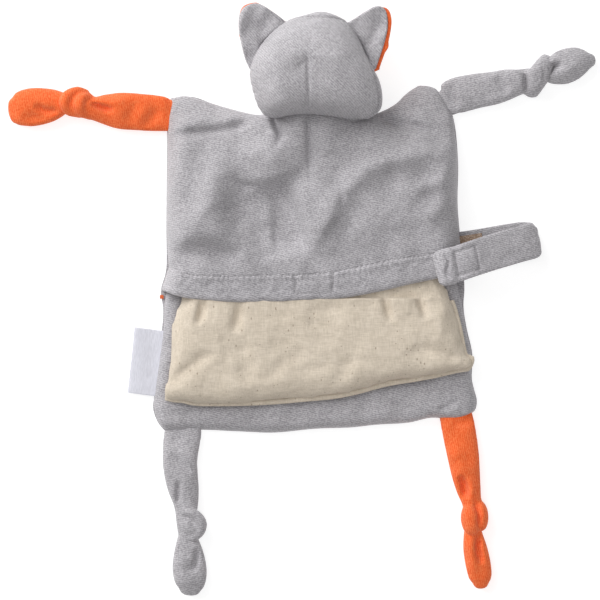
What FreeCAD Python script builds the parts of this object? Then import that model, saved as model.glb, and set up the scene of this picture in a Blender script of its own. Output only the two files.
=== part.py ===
import FreeCAD, Part
import math
import os

# Plush cat hand puppet with an envelope back and a half pulled-out cushion, lying face down.
# Millimetres. +Z is up off the surface it lies on, +Y runs to the head, +X to the right.

SKIN = 3.0                 # doubled velour of the front panel
PANEL = 2.5                # one back panel
GLOVE_TOP = 9.0            # underside of the lower back panel, above the hand space
LOWER_TOP = GLOVE_TOP + PANEL
LOWER_MOUTH_Y = 42.0       # top edge of the lower back panel, under the upper one
SEAM_WALL = 3.0            # width of the sewn edges
PATCH = 1.2                # hook-and-loop tape
CUSHION_LOW = 13.1
CUSHION_SEAM = 16.0
CUSHION_HIGH = 26.8
CUSHION_CENTRE = (10.0, -4.0)
CUSHION_FACE = 0.87        # width of the cushion's flat faces, of its full width
CUSHION_TOP_Y = 76.0
CALICO = 1.5
FLAP_UNDER = 28.4          # underside of the upper back panel over the cushion
HEM_EXTRA = 0.8            # the hem is a double layer
BODY_GAP = 0.5             # between pieces that move apart

HEAD_HEIGHT = 68.0
HEAD_SKIN = 2.5
HEAD_LEVELS = 12
POLE_SHARE = 0.24          # width of the ball's flat spots, of the full width
NECK_AXIS = (14.0, 16.0)   # x and z
NECK_RADIUS = 6.0
NECK_Y = (146.2, 148.2)

EAR_PLY = 2.2
EAR_LOW = 31.8

LIMB_HEIGHT = 9.0
LIMB_EDGE = 3.0
KNOT_HEIGHT = 20.0
KNOT_EDGE = 6.0
HAND_HEIGHT = 11.0
HAND_EDGE = 4.0

STRAP = 2.6
STRAP_WIDTH = 28.0
STRAP_FRONT_ANGLE = -17.0
STRAP_FRONT_END = 84.0     # from the fold to the closure's end
STRAP_BACK_ANGLE = -9.0
STRAP_FOLD = (190.5, 48.5) # x and y at the middle of the strap's width
STRAP_SPLIT_Z = 8.8
LABEL_HEIGHT = 2.4

BODY_OUTLINE = [
    (-104, 161), (-88, 162), (-68, 156), (-48, 150), (-28, 145), (-14, 143), (42, 143), (60, 148),
    (76, 156), (91, 169), (98, 171), (109, 169), (122, 146), (125, 112), (126, 60), (131, 14),
    (130, -5), (133, -22), (137, -43), (137, -62), (140, -80), (137, -90), (111, -95), (86, -98),
    (40, -102), (-20, -105), (-106, -105), (-113, -98), (-117, -86), (-110, -27), (-108, 1),
    (-110, 9), (-106, 26), (-104, 112),
]
LOWER_OUTLINE = [
    (-100.2, 70), (-101.6, 30), (-105.2, 10), (-109, -4), (-110, -27), (-117, -86), (-113, -98),
    (-106, -105), (-20, -105), (40, -102), (86, -98), (111, -95), (137, -90), (140, -80),
    (137, -62), (137, -43), (133, -22), (130, -5), (125, 16), (121.4, 30), (120.4, 70),
]
FLAP_SIDES = [
    (-104, 161), (-88, 162), (-68, 156), (-48, 150), (-28, 145), (-14, 143), (42, 143), (60, 148),
    (76, 156), (91, 169), (98, 171), (109, 169), (122, 146), (125, 112), (126, 60),
]
FLAP_LEFT = [(-106, 26), (-104, 112)]
HEM_SEAM = [(128, 42), (108, 38), (56, 30), (20, 22), (-4, 21), (-44, 20), (-90, 22), (-106, 26)]
HEM_EDGE = [(-110, 9), (-98, 3), (-66, -1), (-46, -2), (7, 0), (64, 7), (106, 16), (130, 22)]

# y, and the height of the flap's outer face there
FLAP_PROFILE = [
    (180, 6.4), (160, 7.4), (146, 10), (128, 16.5), (104, 25), (78, 30.5), (40, 30.9), (-12, 30.9),
]
FLAP_BEND = 12.0           # width of the sloping sides
FLAP_EDGE_Z = 6.0

CUSHION_OUTLINE = [
    (-93, 72), (-87, CUSHION_TOP_Y), (105, CUSHION_TOP_Y), (112, 70), (113, 24), (115, 13),
    (123, 1), (127, -9), (130, -24), (134, -44), (140, -46), (138, -54), (112, -61), (71, -68), (26, -78),
    (0, -81), (-50, -84), (-83, -84), (-96, -82), (-109, -80), (-110, -71), (-108, -58), (-105, -40),
    (-104, -21), (-101, -8), (-95, 2), (-93, 20),
]

HEAD_OUTLINE = [
    (-11, 223), (2, 228), (16, 231), (28, 228), (38, 222), (46, 210), (51, 198), (57, 187),
    (64, 172), (64, 160), (58, 152), (40, 149), (6, 148.6), (-20, 149), (-30, 152), (-37, 171),
    (-39, 182), (-35, 194), (-30, 204), (-22, 214),
]
HEAD_CENTRE = (12.5, 189.0)

EARS = {
    "ear_left": [
        (-13, 223.5), (-22, 232), (-34, 238.5), (-42, 237), (-48, 230), (-49.6, 220), (-48, 208),
        (-44, 194), (-41, 185), (-37, 194), (-32, 204.5), (-24, 215),
    ],
    "ear_right": [
        (40.5, 222), (47, 207), (52, 198), (57, 190), (60, 184), (67, 196), (71, 206), (72, 216),
        (70, 226), (65, 235), (60, 236), (50, 230),
    ],
}

# each limb: the tube from the seam to the knot, the knot, and the end beyond it
LIMBS = {
    "arm_left": {
        "tube": [
            (-105, 159), (-128, 165), (-158, 164), (-165.5, 162), (-165.5, 143), (-153, 140),
            (-128, 135.5), (-105, 134),
        ],
        "knot": [
            (-166, 163), (-180, 167), (-189, 165), (-191, 156), (-188, 147), (-178, 144), (-166, 143),
        ],
        "end": [
            (-192, 166), (-210, 170), (-226, 167), (-233, 162), (-236, 155), (-234, 146),
            (-226, 138), (-210, 139), (-196, 144), (-191.6, 148),
        ],
    },
    "arm_right": {
        "tube": [
            (111, 169.5), (121, 177), (135, 180), (151, 181), (164, 185), (176, 186), (177, 164),
            (162, 157), (146, 153), (124, 147),
        ],
        "knot": [
            (177, 187), (190, 192), (200, 195), (205, 187), (206, 176), (202, 169), (190, 163),
            (178, 164),
        ],
        "end": [
            (204.4, 196), (216, 202), (225, 201), (234, 196), (236, 189), (232, 184), (223, 176),
            (213, 172), (207.4, 171), (206.6, 182),
        ],
    },
    "leg_left": {
        "tube": [
            (-109, -106), (-110, -123), (-109, -137), (-106, -151), (-102, -162.5), (-81, -162.5),
            (-80, -151), (-81, -131), (-81, -118), (-79, -106),
        ],
        "knot": [
            (-102, -163), (-99, -177), (-98, -187), (-100, -197), (-79, -197), (-75, -186),
            (-74, -177), (-77, -168), (-81, -163),
        ],
        "end": [
            (-100, -198), (-102, -210), (-101, -223), (-98, -234), (-91, -238.5), (-83, -236),
            (-76, -229), (-74, -218), (-76, -206), (-79, -198),
        ],
    },
    "leg_right": {
        "tube": [
            (112, -96.5), (116, -120), (121, -142), (125, -154), (130, -163.5), (145, -162.5),
            (144, -140), (143, -122), (141, -106), (137, -92),
        ],
        "knot": [
            (130, -164), (128, -179), (130, -188), (144, -186), (150, -179), (150, -172),
            (145.5, -163),
        ],
        "end": [
            (129.6, -189), (130, -204), (133, -218), (138, -229), (143, -232), (152, -228),
            (154, -221), (152, -212), (149, -198), (145, -187),
        ],
    },
}

LABEL_OUTLINE = [(-131, -23), (-112.4, -26), (-118, -78), (-137, -75)]
LOOP_PATCH_BOX = (-3, 4, 27, 20)      # low x, low y, high x, high y
BAR_TACK_BOX = (-112.4, -4.4, -109.4, -1.0)


def inset(points, distance):
    """The closed outline moved inwards by distance, corner by corner."""
    count = len(points)
    turn = sum(
        points[i][0] * points[(i + 1) % count][1] - points[(i + 1) % count][0] * points[i][1]
        for i in range(count)
    )
    side = 1.0 if turn > 0 else -1.0
    moved = []
    for i in range(count):
        ax, ay = points[i - 1]
        bx, by = points[i]
        cx, cy = points[(i + 1) % count]
        before = FreeCAD.Vector(bx - ax, by - ay, 0).normalize()
        after = FreeCAD.Vector(cx - bx, cy - by, 0).normalize()
        n1 = FreeCAD.Vector(-before.y, before.x, 0) * side
        n2 = FreeCAD.Vector(-after.y, after.x, 0) * side
        middle = n1 + n2
        middle = middle * (2.0 / max(middle.dot(middle), 1.2))
        moved.append((bx + middle.x * distance, by + middle.y * distance))
    return moved


def scaled(points, centre, share):
    """The outline drawn smaller about a centre."""
    return [
        (centre[0] + (x - centre[0]) * share, centre[1] + (y - centre[1]) * share)
        for x, y in points
    ]


def largest(shape):
    """The main solid of a cut, without slivers along the seams."""
    return max(shape.Solids, key=lambda solid: solid.Volume)


def ring(points, z):
    corners = [FreeCAD.Vector(x, y, z) for x, y in points]
    return Part.makePolygon(corners + corners[:1])


def loft(*rings):
    return Part.makeLoft(list(rings), True, True)


def prism(points, low, high):
    return Part.Face(ring(points, low)).extrude(FreeCAD.Vector(0, 0, high - low))


def block(low, high):
    size = [b - a for a, b in zip(low, high)]
    return Part.makeBox(*size, FreeCAD.Vector(*low))


def pillow(points, low, high, edge):
    """A soft flat piece: widest halfway up, its faces drawn in by edge."""
    drawn_in = inset(points, edge)
    return loft(ring(drawn_in, low), ring(points, (low + high) / 2), ring(drawn_in, high))


def ball(points, centre, low, high, skin):
    """A stuffed ball: the outline drawn smaller towards the top and the bottom."""
    half = (high - low) / 2
    middle = (high + low) / 2
    rings = []
    for i in range(HEAD_LEVELS + 1):
        angle = math.pi * (i / HEAD_LEVELS - 0.5)
        share = max(math.cos(angle), POLE_SHARE)
        outline = scaled(inset(points, skin), centre, share)
        rings.append(ring(outline, middle + (half - skin) * math.sin(angle)))
    return loft(*rings)


def cushion_bulk(skin):
    """The cushion, or the space skin inside its cover."""
    seam = scaled(CUSHION_OUTLINE, CUSHION_CENTRE, 1 - skin / 50)
    face = scaled(CUSHION_OUTLINE, CUSHION_CENTRE, CUSHION_FACE - skin / 100)
    return loft(
        ring(face, CUSHION_LOW + skin), ring(seam, CUSHION_SEAM), ring(face, CUSHION_HIGH - skin)
    )


def arch(profile, drop, low):
    """The flap's bulk: cross-sections set along y, lower by drop."""
    rings = []
    for y, height in profile:
        top = height - drop
        side = min(FLAP_EDGE_Z - drop, top - 0.2)
        corners = [
            (-140, low), (-140, side), (-104 + drop, side), (-104 + drop + FLAP_BEND, top),
            (125 - drop - FLAP_BEND, top), (125 - drop, side), (160, side), (160, low),
        ]
        points = [FreeCAD.Vector(x, y, z) for x, z in corners]
        rings.append(Part.makePolygon(points + points[:1]))
    return loft(*rings)


def placed(shape, turn, at):
    """The shape turned about +Z and moved to a point."""
    spun = shape.copy()
    spun.rotate(FreeCAD.Vector(0, 0, 0), FreeCAD.Vector(0, 0, 1), turn)
    spun.translate(FreeCAD.Vector(*at))
    return spun


def band(profile, width):
    """A strip with this side view (distance from the fold towards -X, height), width across."""
    corners = [FreeCAD.Vector(-u, -width / 2, z) for u, z in profile]
    face = Part.Face(Part.makePolygon(corners + corners[:1]))
    return face.extrude(FreeCAD.Vector(0, width, 0))


nodes = {}

# body panels, sewn together at the sides
nodes["front_panel"] = prism(BODY_OUTLINE, 0, SKIN)
lower_outer = loft(
    ring(LOWER_OUTLINE, SKIN),
    ring(inset(LOWER_OUTLINE, 1.0), SKIN + 3.0),
    ring(inset(LOWER_OUTLINE, 6.0), LOWER_TOP),
)
lower_space = loft(
    ring(inset(LOWER_OUTLINE, SEAM_WALL), SKIN - 1),
    ring(inset(LOWER_OUTLINE, SEAM_WALL + 0.6), SKIN + 2.0),
    ring(inset(LOWER_OUTLINE, SEAM_WALL + 5.0), GLOVE_TOP),
)
above_mouth = block((-200, LOWER_MOUTH_Y, 0), (200, 200, 60))

flap_outline = FLAP_SIDES + HEM_SEAM + FLAP_LEFT
hem_outline = HEM_SEAM + HEM_EDGE
closed_sides = inset(FLAP_SIDES + HEM_SEAM[:1] + HEM_EDGE[::-1] + FLAP_LEFT, SEAM_WALL)
flap_space = arch(FLAP_PROFILE, PANEL, SKIN - 1)
flap_space = flap_space.common(prism(closed_sides, SKIN - 1, 60))
mouth = prism([(-102, 30), (-105, -20), (127, -20), (123, 40)], SKIN - 1, 60)
mouth = mouth.common(arch(FLAP_PROFILE, PANEL, SKIN - 1))
flap_solid = arch(FLAP_PROFILE, 0, SKIN).common(prism(flap_outline, SKIN, 60))
hem_bulk = arch([(y, z + HEM_EXTRA) for y, z in FLAP_PROFILE], 0, SKIN)
hem_solid = hem_bulk.common(prism(hem_outline, SKIN, 60))
nodes["upper_back_panel"] = flap_solid.cut(flap_space).cut(mouth)
nodes["upper_back_hem"] = hem_solid.cut(flap_space).cut(mouth)
lower = lower_outer.cut(lower_space).cut(above_mouth)
nodes["lower_back_panel"] = largest(
    lower.cut(nodes["upper_back_panel"]).cut(nodes["upper_back_hem"])
)

x0, y0, x1, y1 = LOOP_PATCH_BOX
nodes["loop_patch"] = block((x0, y0, LOWER_TOP), (x1, y1, LOWER_TOP + PATCH))
nodes["hook_patch"] = block((x0, y0, FLAP_UNDER - PATCH), (x1, y1, FLAP_UNDER))
x0, y0, x1, y1 = BAR_TACK_BOX
nodes["bar_tack"] = block((x0, y0, 1.4), (x1, y1, 3.6)).cut(nodes["front_panel"])
nodes["bar_tack"] = nodes["bar_tack"].cut(nodes["lower_back_panel"])

# the cushion: a calico cover round its filling
cushion = cushion_bulk(0)
nodes["cushion_cover"] = cushion.cut(cushion_bulk(CALICO))
nodes["cushion_filling"] = cushion_bulk(CALICO + 0.2)

# the neck and the stuffed head
nodes["neck_tube"] = Part.makeCylinder(
    NECK_RADIUS,
    NECK_Y[1] - NECK_Y[0],
    FreeCAD.Vector(NECK_AXIS[0], NECK_Y[0], NECK_AXIS[1]),
    FreeCAD.Vector(0, 1, 0),
)
head = ball(HEAD_OUTLINE, HEAD_CENTRE, 0, HEAD_HEIGHT, 0)
head_space = ball(HEAD_OUTLINE, HEAD_CENTRE, 0, HEAD_HEIGHT, HEAD_SKIN)
shell = head.cut(head_space)
lower_half = block((-100, 100, -10), (150, 300, HEAD_HEIGHT / 2))
nodes["head_face"] = shell.common(lower_half)
nodes["head_back"] = shell.cut(lower_half)
nodes["head_filling"] = ball(HEAD_OUTLINE, HEAD_CENTRE, 0, HEAD_HEIGHT, HEAD_SKIN + 0.2)

# two-ply ears: grey behind, orange lining towards the face
for ear, outline in EARS.items():
    lining = loft(
        ring(inset(outline, 1.6), EAR_LOW), ring(inset(outline, 0.4), EAR_LOW + EAR_PLY)
    )
    back = loft(
        ring(outline, EAR_LOW + EAR_PLY), ring(inset(outline, 1.6), EAR_LOW + 2 * EAR_PLY)
    )
    nodes[ear + "_lining"] = lining.cut(head)
    nodes[ear + "_back"] = back.cut(head)

# arms and legs
LIMB_ENDS = {"arm": "hand", "leg": "foot"}
for limb, outlines in LIMBS.items():
    tip = LIMB_ENDS[limb[:3]]
    nodes[limb + "_tube"] = pillow(outlines["tube"], 0, LIMB_HEIGHT, LIMB_EDGE)
    nodes[limb + "_knot"] = pillow(outlines["knot"], 0, KNOT_HEIGHT, KNOT_EDGE)
    nodes[limb + "_" + tip] = pillow(outlines["end"], 0, HAND_HEIGHT, HAND_EDGE)

# the strap: back layer on the surface, folded over at its outer end
fold_x, fold_y = STRAP_FOLD
back_profile = [
    (59, 0), (3, 0), (0, 3), (0, STRAP_SPLIT_Z - BODY_GAP / 2),
    (STRAP, STRAP_SPLIT_Z - BODY_GAP / 2), (STRAP, 4.2), (4.2, STRAP), (59, STRAP),
]
front_profile = [
    (0, STRAP_SPLIT_Z + BODY_GAP / 2), (0, 14), (4, 18.4), (58, 35.4), (STRAP_FRONT_END, 35.4),
    (STRAP_FRONT_END, 35.4 - STRAP), (58.6, 35.4 - STRAP), (5.6, 16.2), (STRAP, 13),
    (STRAP, STRAP_SPLIT_Z + BODY_GAP / 2),
]
nodes["strap_back_layer"] = placed(
    band(back_profile, STRAP_WIDTH), -STRAP_BACK_ANGLE, (fold_x, fold_y, 0)
)
nodes["strap_front_layer"] = placed(
    band(front_profile, STRAP_WIDTH), -STRAP_FRONT_ANGLE, (fold_x, fold_y, 0)
)
back_tape = [(26, STRAP), (56, STRAP), (56, STRAP + PATCH), (26, STRAP + PATCH)]
front_tape = [
    (60, 35.4 - STRAP - 0.4), (STRAP_FRONT_END - 2, 35.4 - STRAP - 0.4),
    (STRAP_FRONT_END - 2, 35.4 - STRAP), (60, 35.4 - STRAP),
]
nodes["strap_loop_patch"] = placed(
    band(back_tape, STRAP_WIDTH - 6), -STRAP_BACK_ANGLE, (fold_x, fold_y, 0)
)
nodes["strap_hook_patch"] = placed(
    band(front_tape, STRAP_WIDTH - 6), -STRAP_FRONT_ANGLE, (fold_x, fold_y, 0)
)

# the folded side label
nodes["label"] = prism(LABEL_OUTLINE, 0, LABEL_HEIGHT)

os.makedirs("parts", exist_ok=True)
for name, shape in nodes.items():
    shape.exportStep("parts/" + name + ".step")
    print(name, shape.isValid(), len(shape.Solids), round(shape.Volume / 1000, 2))
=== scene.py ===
import math

import bmesh
import bpy
import numpy as np
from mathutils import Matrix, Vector


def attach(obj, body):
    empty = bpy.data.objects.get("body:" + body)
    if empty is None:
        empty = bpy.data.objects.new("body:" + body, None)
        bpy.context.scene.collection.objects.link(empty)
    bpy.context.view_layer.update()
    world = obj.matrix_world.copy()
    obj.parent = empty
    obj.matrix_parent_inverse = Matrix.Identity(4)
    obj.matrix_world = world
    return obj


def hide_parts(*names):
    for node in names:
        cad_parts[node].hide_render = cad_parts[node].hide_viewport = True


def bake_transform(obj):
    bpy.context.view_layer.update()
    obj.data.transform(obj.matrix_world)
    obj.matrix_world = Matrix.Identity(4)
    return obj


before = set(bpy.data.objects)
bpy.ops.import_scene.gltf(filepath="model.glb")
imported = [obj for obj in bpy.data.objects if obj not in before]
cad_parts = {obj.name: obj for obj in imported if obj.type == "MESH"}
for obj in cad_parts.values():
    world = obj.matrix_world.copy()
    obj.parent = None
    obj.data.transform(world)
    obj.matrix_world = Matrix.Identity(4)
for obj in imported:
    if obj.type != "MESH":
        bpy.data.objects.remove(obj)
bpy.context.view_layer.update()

# All shapes below are worked out in millimetres in the row frame and scaled once, in make_mesh.
MM = 0.001


# ---------------------------------------------------------------- curves and fields

def spline(points, count):
    """count points evenly along a smooth curve through the given ones."""
    p = np.array(points, float)
    if len(p) == 2:
        t = np.linspace(0, 1, count)[:, None]
        return p[0] * (1 - t) + p[1] * t
    ends = np.vstack([2 * p[0] - p[1], p, 2 * p[-1] - p[-2]])
    fine = []
    for a, b, c, d in zip(ends[:-3], ends[1:-2], ends[2:-1], ends[3:]):
        t = np.linspace(0, 1, 24, endpoint=False)[:, None]
        fine.append(0.5 * (2 * b + (c - a) * t + (2 * a - 5 * b + 4 * c - d) * t ** 2
                           + (3 * b - a - 3 * c + d) * t ** 3))
    fine = np.vstack(fine + [p[-1:]])
    return even(fine, count)


def even(line, count):
    """The same line with count points evenly spaced along it."""
    steps = np.linalg.norm(np.diff(line, axis=0), axis=1)
    along = np.concatenate([[0], np.cumsum(steps)])
    at = np.linspace(0, along[-1], count)
    return np.stack([np.interp(at, along, line[:, k]) for k in range(line.shape[1])], axis=1)


def closed_spline(points, count):
    """count points evenly round a smooth closed curve through the given ones."""
    p = list(points)
    wrapped = p[-3:] + p + p[:3]
    fine = spline(wrapped, 40 * len(wrapped))
    start = np.argmin(np.linalg.norm(fine[: len(fine) // 2] - p[0], axis=1))
    stop = len(fine) // 2 + np.argmin(np.linalg.norm(fine[len(fine) // 2:] - p[0], axis=1))
    return even(fine[start:stop + 1], count + 1)[:-1]


def coons(top, bottom, left, right):
    """Grid of plan points inside four edge curves. Rows run from top to bottom."""
    rows, cols = len(left), len(top)
    u = np.linspace(0, 1, cols)[None, :, None]
    v = np.linspace(0, 1, rows)[:, None, None]
    across = left[:, None] * (1 - u) + right[:, None] * u
    down = top[None] * (1 - v) + bottom[None] * v
    corners = ((top[0] * (1 - u) + top[-1] * u) * (1 - v)
               + (bottom[0] * (1 - u) + bottom[-1] * u) * v)
    return across + down - corners


def from_line(x, y, points):
    """Signed distance from a polyline (positive on its left), and the share along it."""
    best = np.full(x.shape, 1e9)
    sign = np.ones(x.shape)
    share = np.zeros(x.shape)
    p = np.array(points, float)
    lengths = np.linalg.norm(np.diff(p, axis=0), axis=1)
    before = np.concatenate([[0], np.cumsum(lengths)])
    for (ax, ay), (bx, by), length, gone in zip(p[:-1], p[1:], lengths, before):
        dx, dy = (bx - ax) / length, (by - ay) / length
        t = np.clip((x - ax) * dx + (y - ay) * dy, 0, length)
        off = np.hypot(x - ax - t * dx, y - ay - t * dy)
        near = off < best
        side = np.sign(dx * (y - ay) - dy * (x - ax))
        sign = np.where(near, np.where(side == 0, 1, side), sign)
        share = np.where(near, (gone + t) / before[-1], share)
        best = np.minimum(best, off)
    return best * sign, share


def fade(share, ends):
    """1 along the middle of a line, falling to 0 over this share at each end."""
    return np.clip(share / ends, 0, 1) ** 0.7 * np.clip((1 - share) / ends, 0, 1) ** 0.7


def crease(x, y, points, height, width, ends=0.25):
    """A ridge (height above 0) or valley along a line."""
    d, share = from_line(x, y, points)
    return height * np.exp(-((d / width) ** 2)) * fade(share, ends)


def drop(x, y, points, height, width, reach, ends=0.25):
    """Cloth that stands higher on the left of a line, and settles again over reach."""
    d, share = from_line(x, y, points)
    step = 0.5 * (1 + np.tanh(d / width))
    return height * step * np.exp(-np.abs(d) / reach) * fade(share, ends)


def ramp(x, y, points, height, width, reach, ends=0.25):
    """Ground that falls steadily towards a line from its left, and steps up again across it."""
    d, share = from_line(x, y, points)
    step = 0.5 * (1 + np.tanh(d / width))
    return -height * step * np.clip(1 - d / reach, 0, 1) * fade(share, ends)


def bump(x, y, at, size, height, turn=0.0):
    """A round hill, or a hollow where height is below 0."""
    a = math.radians(turn)
    dx, dy = x - at[0], y - at[1]
    u = (dx * math.cos(a) + dy * math.sin(a)) / size[0]
    v = (-dx * math.sin(a) + dy * math.cos(a)) / size[1]
    return height * np.exp(-(u * u + v * v))


def ripple(x, y, scale, seed, waves=9):
    """Smooth unevenness of about unit height, with features of this size in mm."""
    rng = np.random.default_rng(seed)
    out = np.zeros_like(x)
    for _ in range(waves):
        a = rng.uniform(0, math.tau)
        k = math.tau / (scale * rng.uniform(0.7, 1.7))
        out += np.sin(k * (x * math.cos(a) + y * math.sin(a)) + rng.uniform(0, math.tau))
    return out / math.sqrt(waves)


def folds_on(x, y, folds):
    """Sum of the folds in a list, each a function above with its values."""
    h = 0.0
    for fold, *values in folds:
        h = h + fold(x, y, *values)
    return h


def soften(h, passes):
    """The same field on its grid, blurred a little."""
    for _ in range(passes):
        h = np.pad(h, 1, mode="edge")
        h = (h[:-2] + 2 * h[1:-1] + h[2:]) / 4
        h = (h[:, :-2] + 2 * h[:, 1:-1] + h[:, 2:]) / 4
    return h


def rounded(d, width):
    """Height of a rolled edge, 0 at the edge and 1 from width inwards."""
    t = np.clip(d / width, 0, 1)
    return np.sqrt(np.clip(1 - (1 - t) ** 2, 0, 1))


# ---------------------------------------------------------------- meshes

def at(x, y, z):
    """A point in metres from millimetres."""
    return (x * MM, y * MM, z * MM)


def make_mesh(name, verts, faces, material):
    """Object from vertices in mm. A piece that is a CAD node's cloth gets _cloth in its name."""
    mesh = bpy.data.meshes.new(name)
    mesh.from_pydata((np.asarray(verts, float) * MM).tolist(), [], faces)
    mesh.validate()
    obj = bpy.data.objects.new(name + "_cloth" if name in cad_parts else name, mesh)
    bpy.context.scene.collection.objects.link(obj)
    mesh.materials.append(material)
    smooth_shading(obj)
    mesh.update()
    return obj


def smooth_shading(obj):
    """Shades it without visible facets."""
    obj.data.polygons.foreach_set("use_smooth", [True] * len(obj.data.polygons))


def vertices(obj):
    """Its vertices in mm."""
    co = np.zeros(len(obj.data.vertices) * 3)
    obj.data.vertices.foreach_get("co", co)
    return co.reshape(-1, 3) / MM


def set_vertices(obj, co):
    """Moves its vertices to these places in mm."""
    obj.data.vertices.foreach_set("co", (np.asarray(co) * MM).astype(np.float32).ravel())
    obj.data.update()


def normals(obj):
    """The direction each vertex faces."""
    n = np.zeros(len(obj.data.vertices) * 3)
    obj.data.vertex_normals.foreach_get("vector", n)
    return n.reshape(-1, 3)


def grid_normals(grid):
    """Upward direction square to a surface grid at each of its points."""
    du = np.gradient(grid, axis=1)
    dv = np.gradient(grid, axis=0)
    n = np.cross(dv, du)
    n /= np.maximum(np.linalg.norm(n, axis=2, keepdims=True), 1e-9)
    return np.where(n[..., 2:3] < 0, -n, n)


def slab(name, grid, thick, material, rim=4, under=None):
    """A sheet of cloth with rounded edges. grid is its upper face, under its lower one where the
    thickness alone does not give it, and rim the count of steps round the edge."""
    rows, cols = grid.shape[:2]
    n = grid_normals(grid)
    thick = np.broadcast_to(np.asarray(thick, float), (rows, cols))[..., None]
    lower = grid - n * thick if under is None else under
    verts = [grid.reshape(-1, 3), lower.reshape(-1, 3)]
    size = rows * cols
    faces = []
    for base, flip in ((0, False), (size, True)):
        a = (np.arange(rows - 1)[:, None] * cols + np.arange(cols - 1)).ravel() + base
        quads = np.stack([a, a + cols, a + cols + 1, a + 1], axis=1)
        faces += (quads[:, ::-1] if flip else quads).tolist()
    loop = ([(0, j) for j in range(cols)] + [(i, cols - 1) for i in range(1, rows)]
            + [(rows - 1, j) for j in range(cols - 2, -1, -1)]
            + [(i, 0) for i in range(rows - 2, 0, -1)])
    ids = np.array([i * cols + j for i, j in loop])
    top, low = grid.reshape(-1, 3)[ids], lower.reshape(-1, 3)[ids]
    middle = (top + low) / 2
    ahead = np.roll(middle, -1, axis=0) - np.roll(middle, 1, axis=0)
    up = top - low
    out = np.cross(up, ahead)
    out /= np.maximum(np.linalg.norm(out, axis=1, keepdims=True), 1e-9)
    inside = grid.reshape(-1, 3).mean(0) - middle
    if (out * inside).sum() > 0:
        out = -out
    half = np.linalg.norm(up, axis=1, keepdims=True) / 2
    rings = [ids]
    count = 2 * size
    for k in range(1, rim):
        a = math.pi * k / rim
        verts.append(middle + out * half * math.sin(a) * 0.9 + up / 2 * math.cos(a))
        rings.append(np.arange(count, count + len(ids)))
        count += len(ids)
    rings.append(ids + size)
    for a, b in zip(rings[:-1], rings[1:]):
        quads = np.stack([a, np.roll(a, -1), np.roll(b, -1), b], axis=1)
        faces += quads.tolist()
    obj = make_mesh(name, np.vstack(verts), faces, material)
    recalculate(obj)
    return obj


def recalculate(obj):
    """Turns every face outwards."""
    bm = bmesh.new()
    bm.from_mesh(obj.data)
    bmesh.ops.recalc_face_normals(bm, faces=bm.faces)
    bm.to_mesh(obj.data)
    bm.free()
    obj.data.update()


def tube(path, across, radii, sides=28, power=2.2, caps=5):
    """Vertices and faces of a closed soft tube. across is the sideways direction at each point,
    radii the half width and half height there."""
    path, across, radii = (np.asarray(a, float) for a in (path, across, radii))
    along = np.gradient(path, axis=0)
    along /= np.linalg.norm(along, axis=1, keepdims=True)
    side = across - along * (across * along).sum(1, keepdims=True)
    side /= np.linalg.norm(side, axis=1, keepdims=True)
    up = np.cross(along, side)
    a = np.linspace(0, math.tau, sides, endpoint=False)
    c = np.sign(np.cos(a)) * np.abs(np.cos(a)) ** (2 / power)
    s = np.sign(np.sin(a)) * np.abs(np.sin(a)) ** (2 / power)
    rings = []

    def ring(i, share, shift):
        centre = path[i] + along[i] * shift
        rings.append(centre + np.outer(c, side[i]) * radii[i, 0] * share
                     + np.outer(s, up[i]) * radii[i, 1] * share)

    for k in range(caps, 0, -1):
        t = k / caps * 0.96
        ring(0, math.sqrt(1 - t * t), -radii[0].min() * t)
    for i in range(len(path)):
        ring(i, 1.0, 0.0)
    for k in range(1, caps + 1):
        t = k / caps * 0.96
        ring(-1, math.sqrt(1 - t * t), radii[-1].min() * t)
    verts = np.vstack(rings)
    count = len(rings)
    faces = []
    for i in range(count - 1):
        b = i * sides
        faces += [[b + j, b + (j + 1) % sides, b + sides + (j + 1) % sides, b + sides + j]
                  for j in range(sides)]
    faces.append(list(range(sides))[::-1])
    faces.append(list(range((count - 1) * sides, count * sides)))
    return verts, faces


def stations(rows, step=1.6):
    """Path, sideways direction and radii from rows of (left x, left y, right x, right y, low z,
    high z) set along a limb."""
    r = np.array(rows, float)
    middle = np.column_stack([(r[:, 0] + r[:, 2]) / 2, (r[:, 1] + r[:, 3]) / 2,
                              (r[:, 4] + r[:, 5]) / 2])
    length = np.linalg.norm(np.diff(middle, axis=0), axis=1).sum()
    fine = spline(r, max(8, int(length / step)))
    path = np.column_stack([(fine[:, 0] + fine[:, 2]) / 2, (fine[:, 1] + fine[:, 3]) / 2,
                            (fine[:, 4] + fine[:, 5]) / 2])
    across = np.column_stack([fine[:, 2] - fine[:, 0], fine[:, 3] - fine[:, 1], 0 * fine[:, 0]])
    half = np.linalg.norm(across, axis=1) / 2
    return path, across, np.column_stack([half, (fine[:, 5] - fine[:, 4]) / 2])


def icosphere(subdivisions):
    """Vertices and faces of a ball of radius 1."""
    bm = bmesh.new()
    bmesh.ops.create_icosphere(bm, subdivisions=subdivisions, radius=1.0)
    verts = np.array([v.co for v in bm.verts])
    faces = [[v.index for v in face.verts] for face in bm.faces]
    bm.free()
    return verts, faces


def ellipsoid(centre, size, turn=0.0):
    """A round lobe: centre, half sizes, and its turn about +Z in degrees."""
    verts, faces = icosphere(4)
    a = math.radians(turn)
    spin = np.array([[math.cos(a), -math.sin(a), 0], [math.sin(a), math.cos(a), 0], [0, 0, 1]])
    return (verts * np.array(size)) @ spin.T + np.array(centre), faces


def roll(points, radii, sides=16):
    """A rounded fold of cloth along a 3-D line: round tube with these radii."""
    count = max(10, int(np.linalg.norm(np.diff(np.array(points, float), axis=0), axis=1).sum()))
    line = spline(points, count)
    r = spline([[a, b] for a, b in radii], count)
    across = np.cross(np.gradient(line, axis=0), [0.05, 0.02, 1.0])
    return tube(line, across, r, sides, 2.0)


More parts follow.
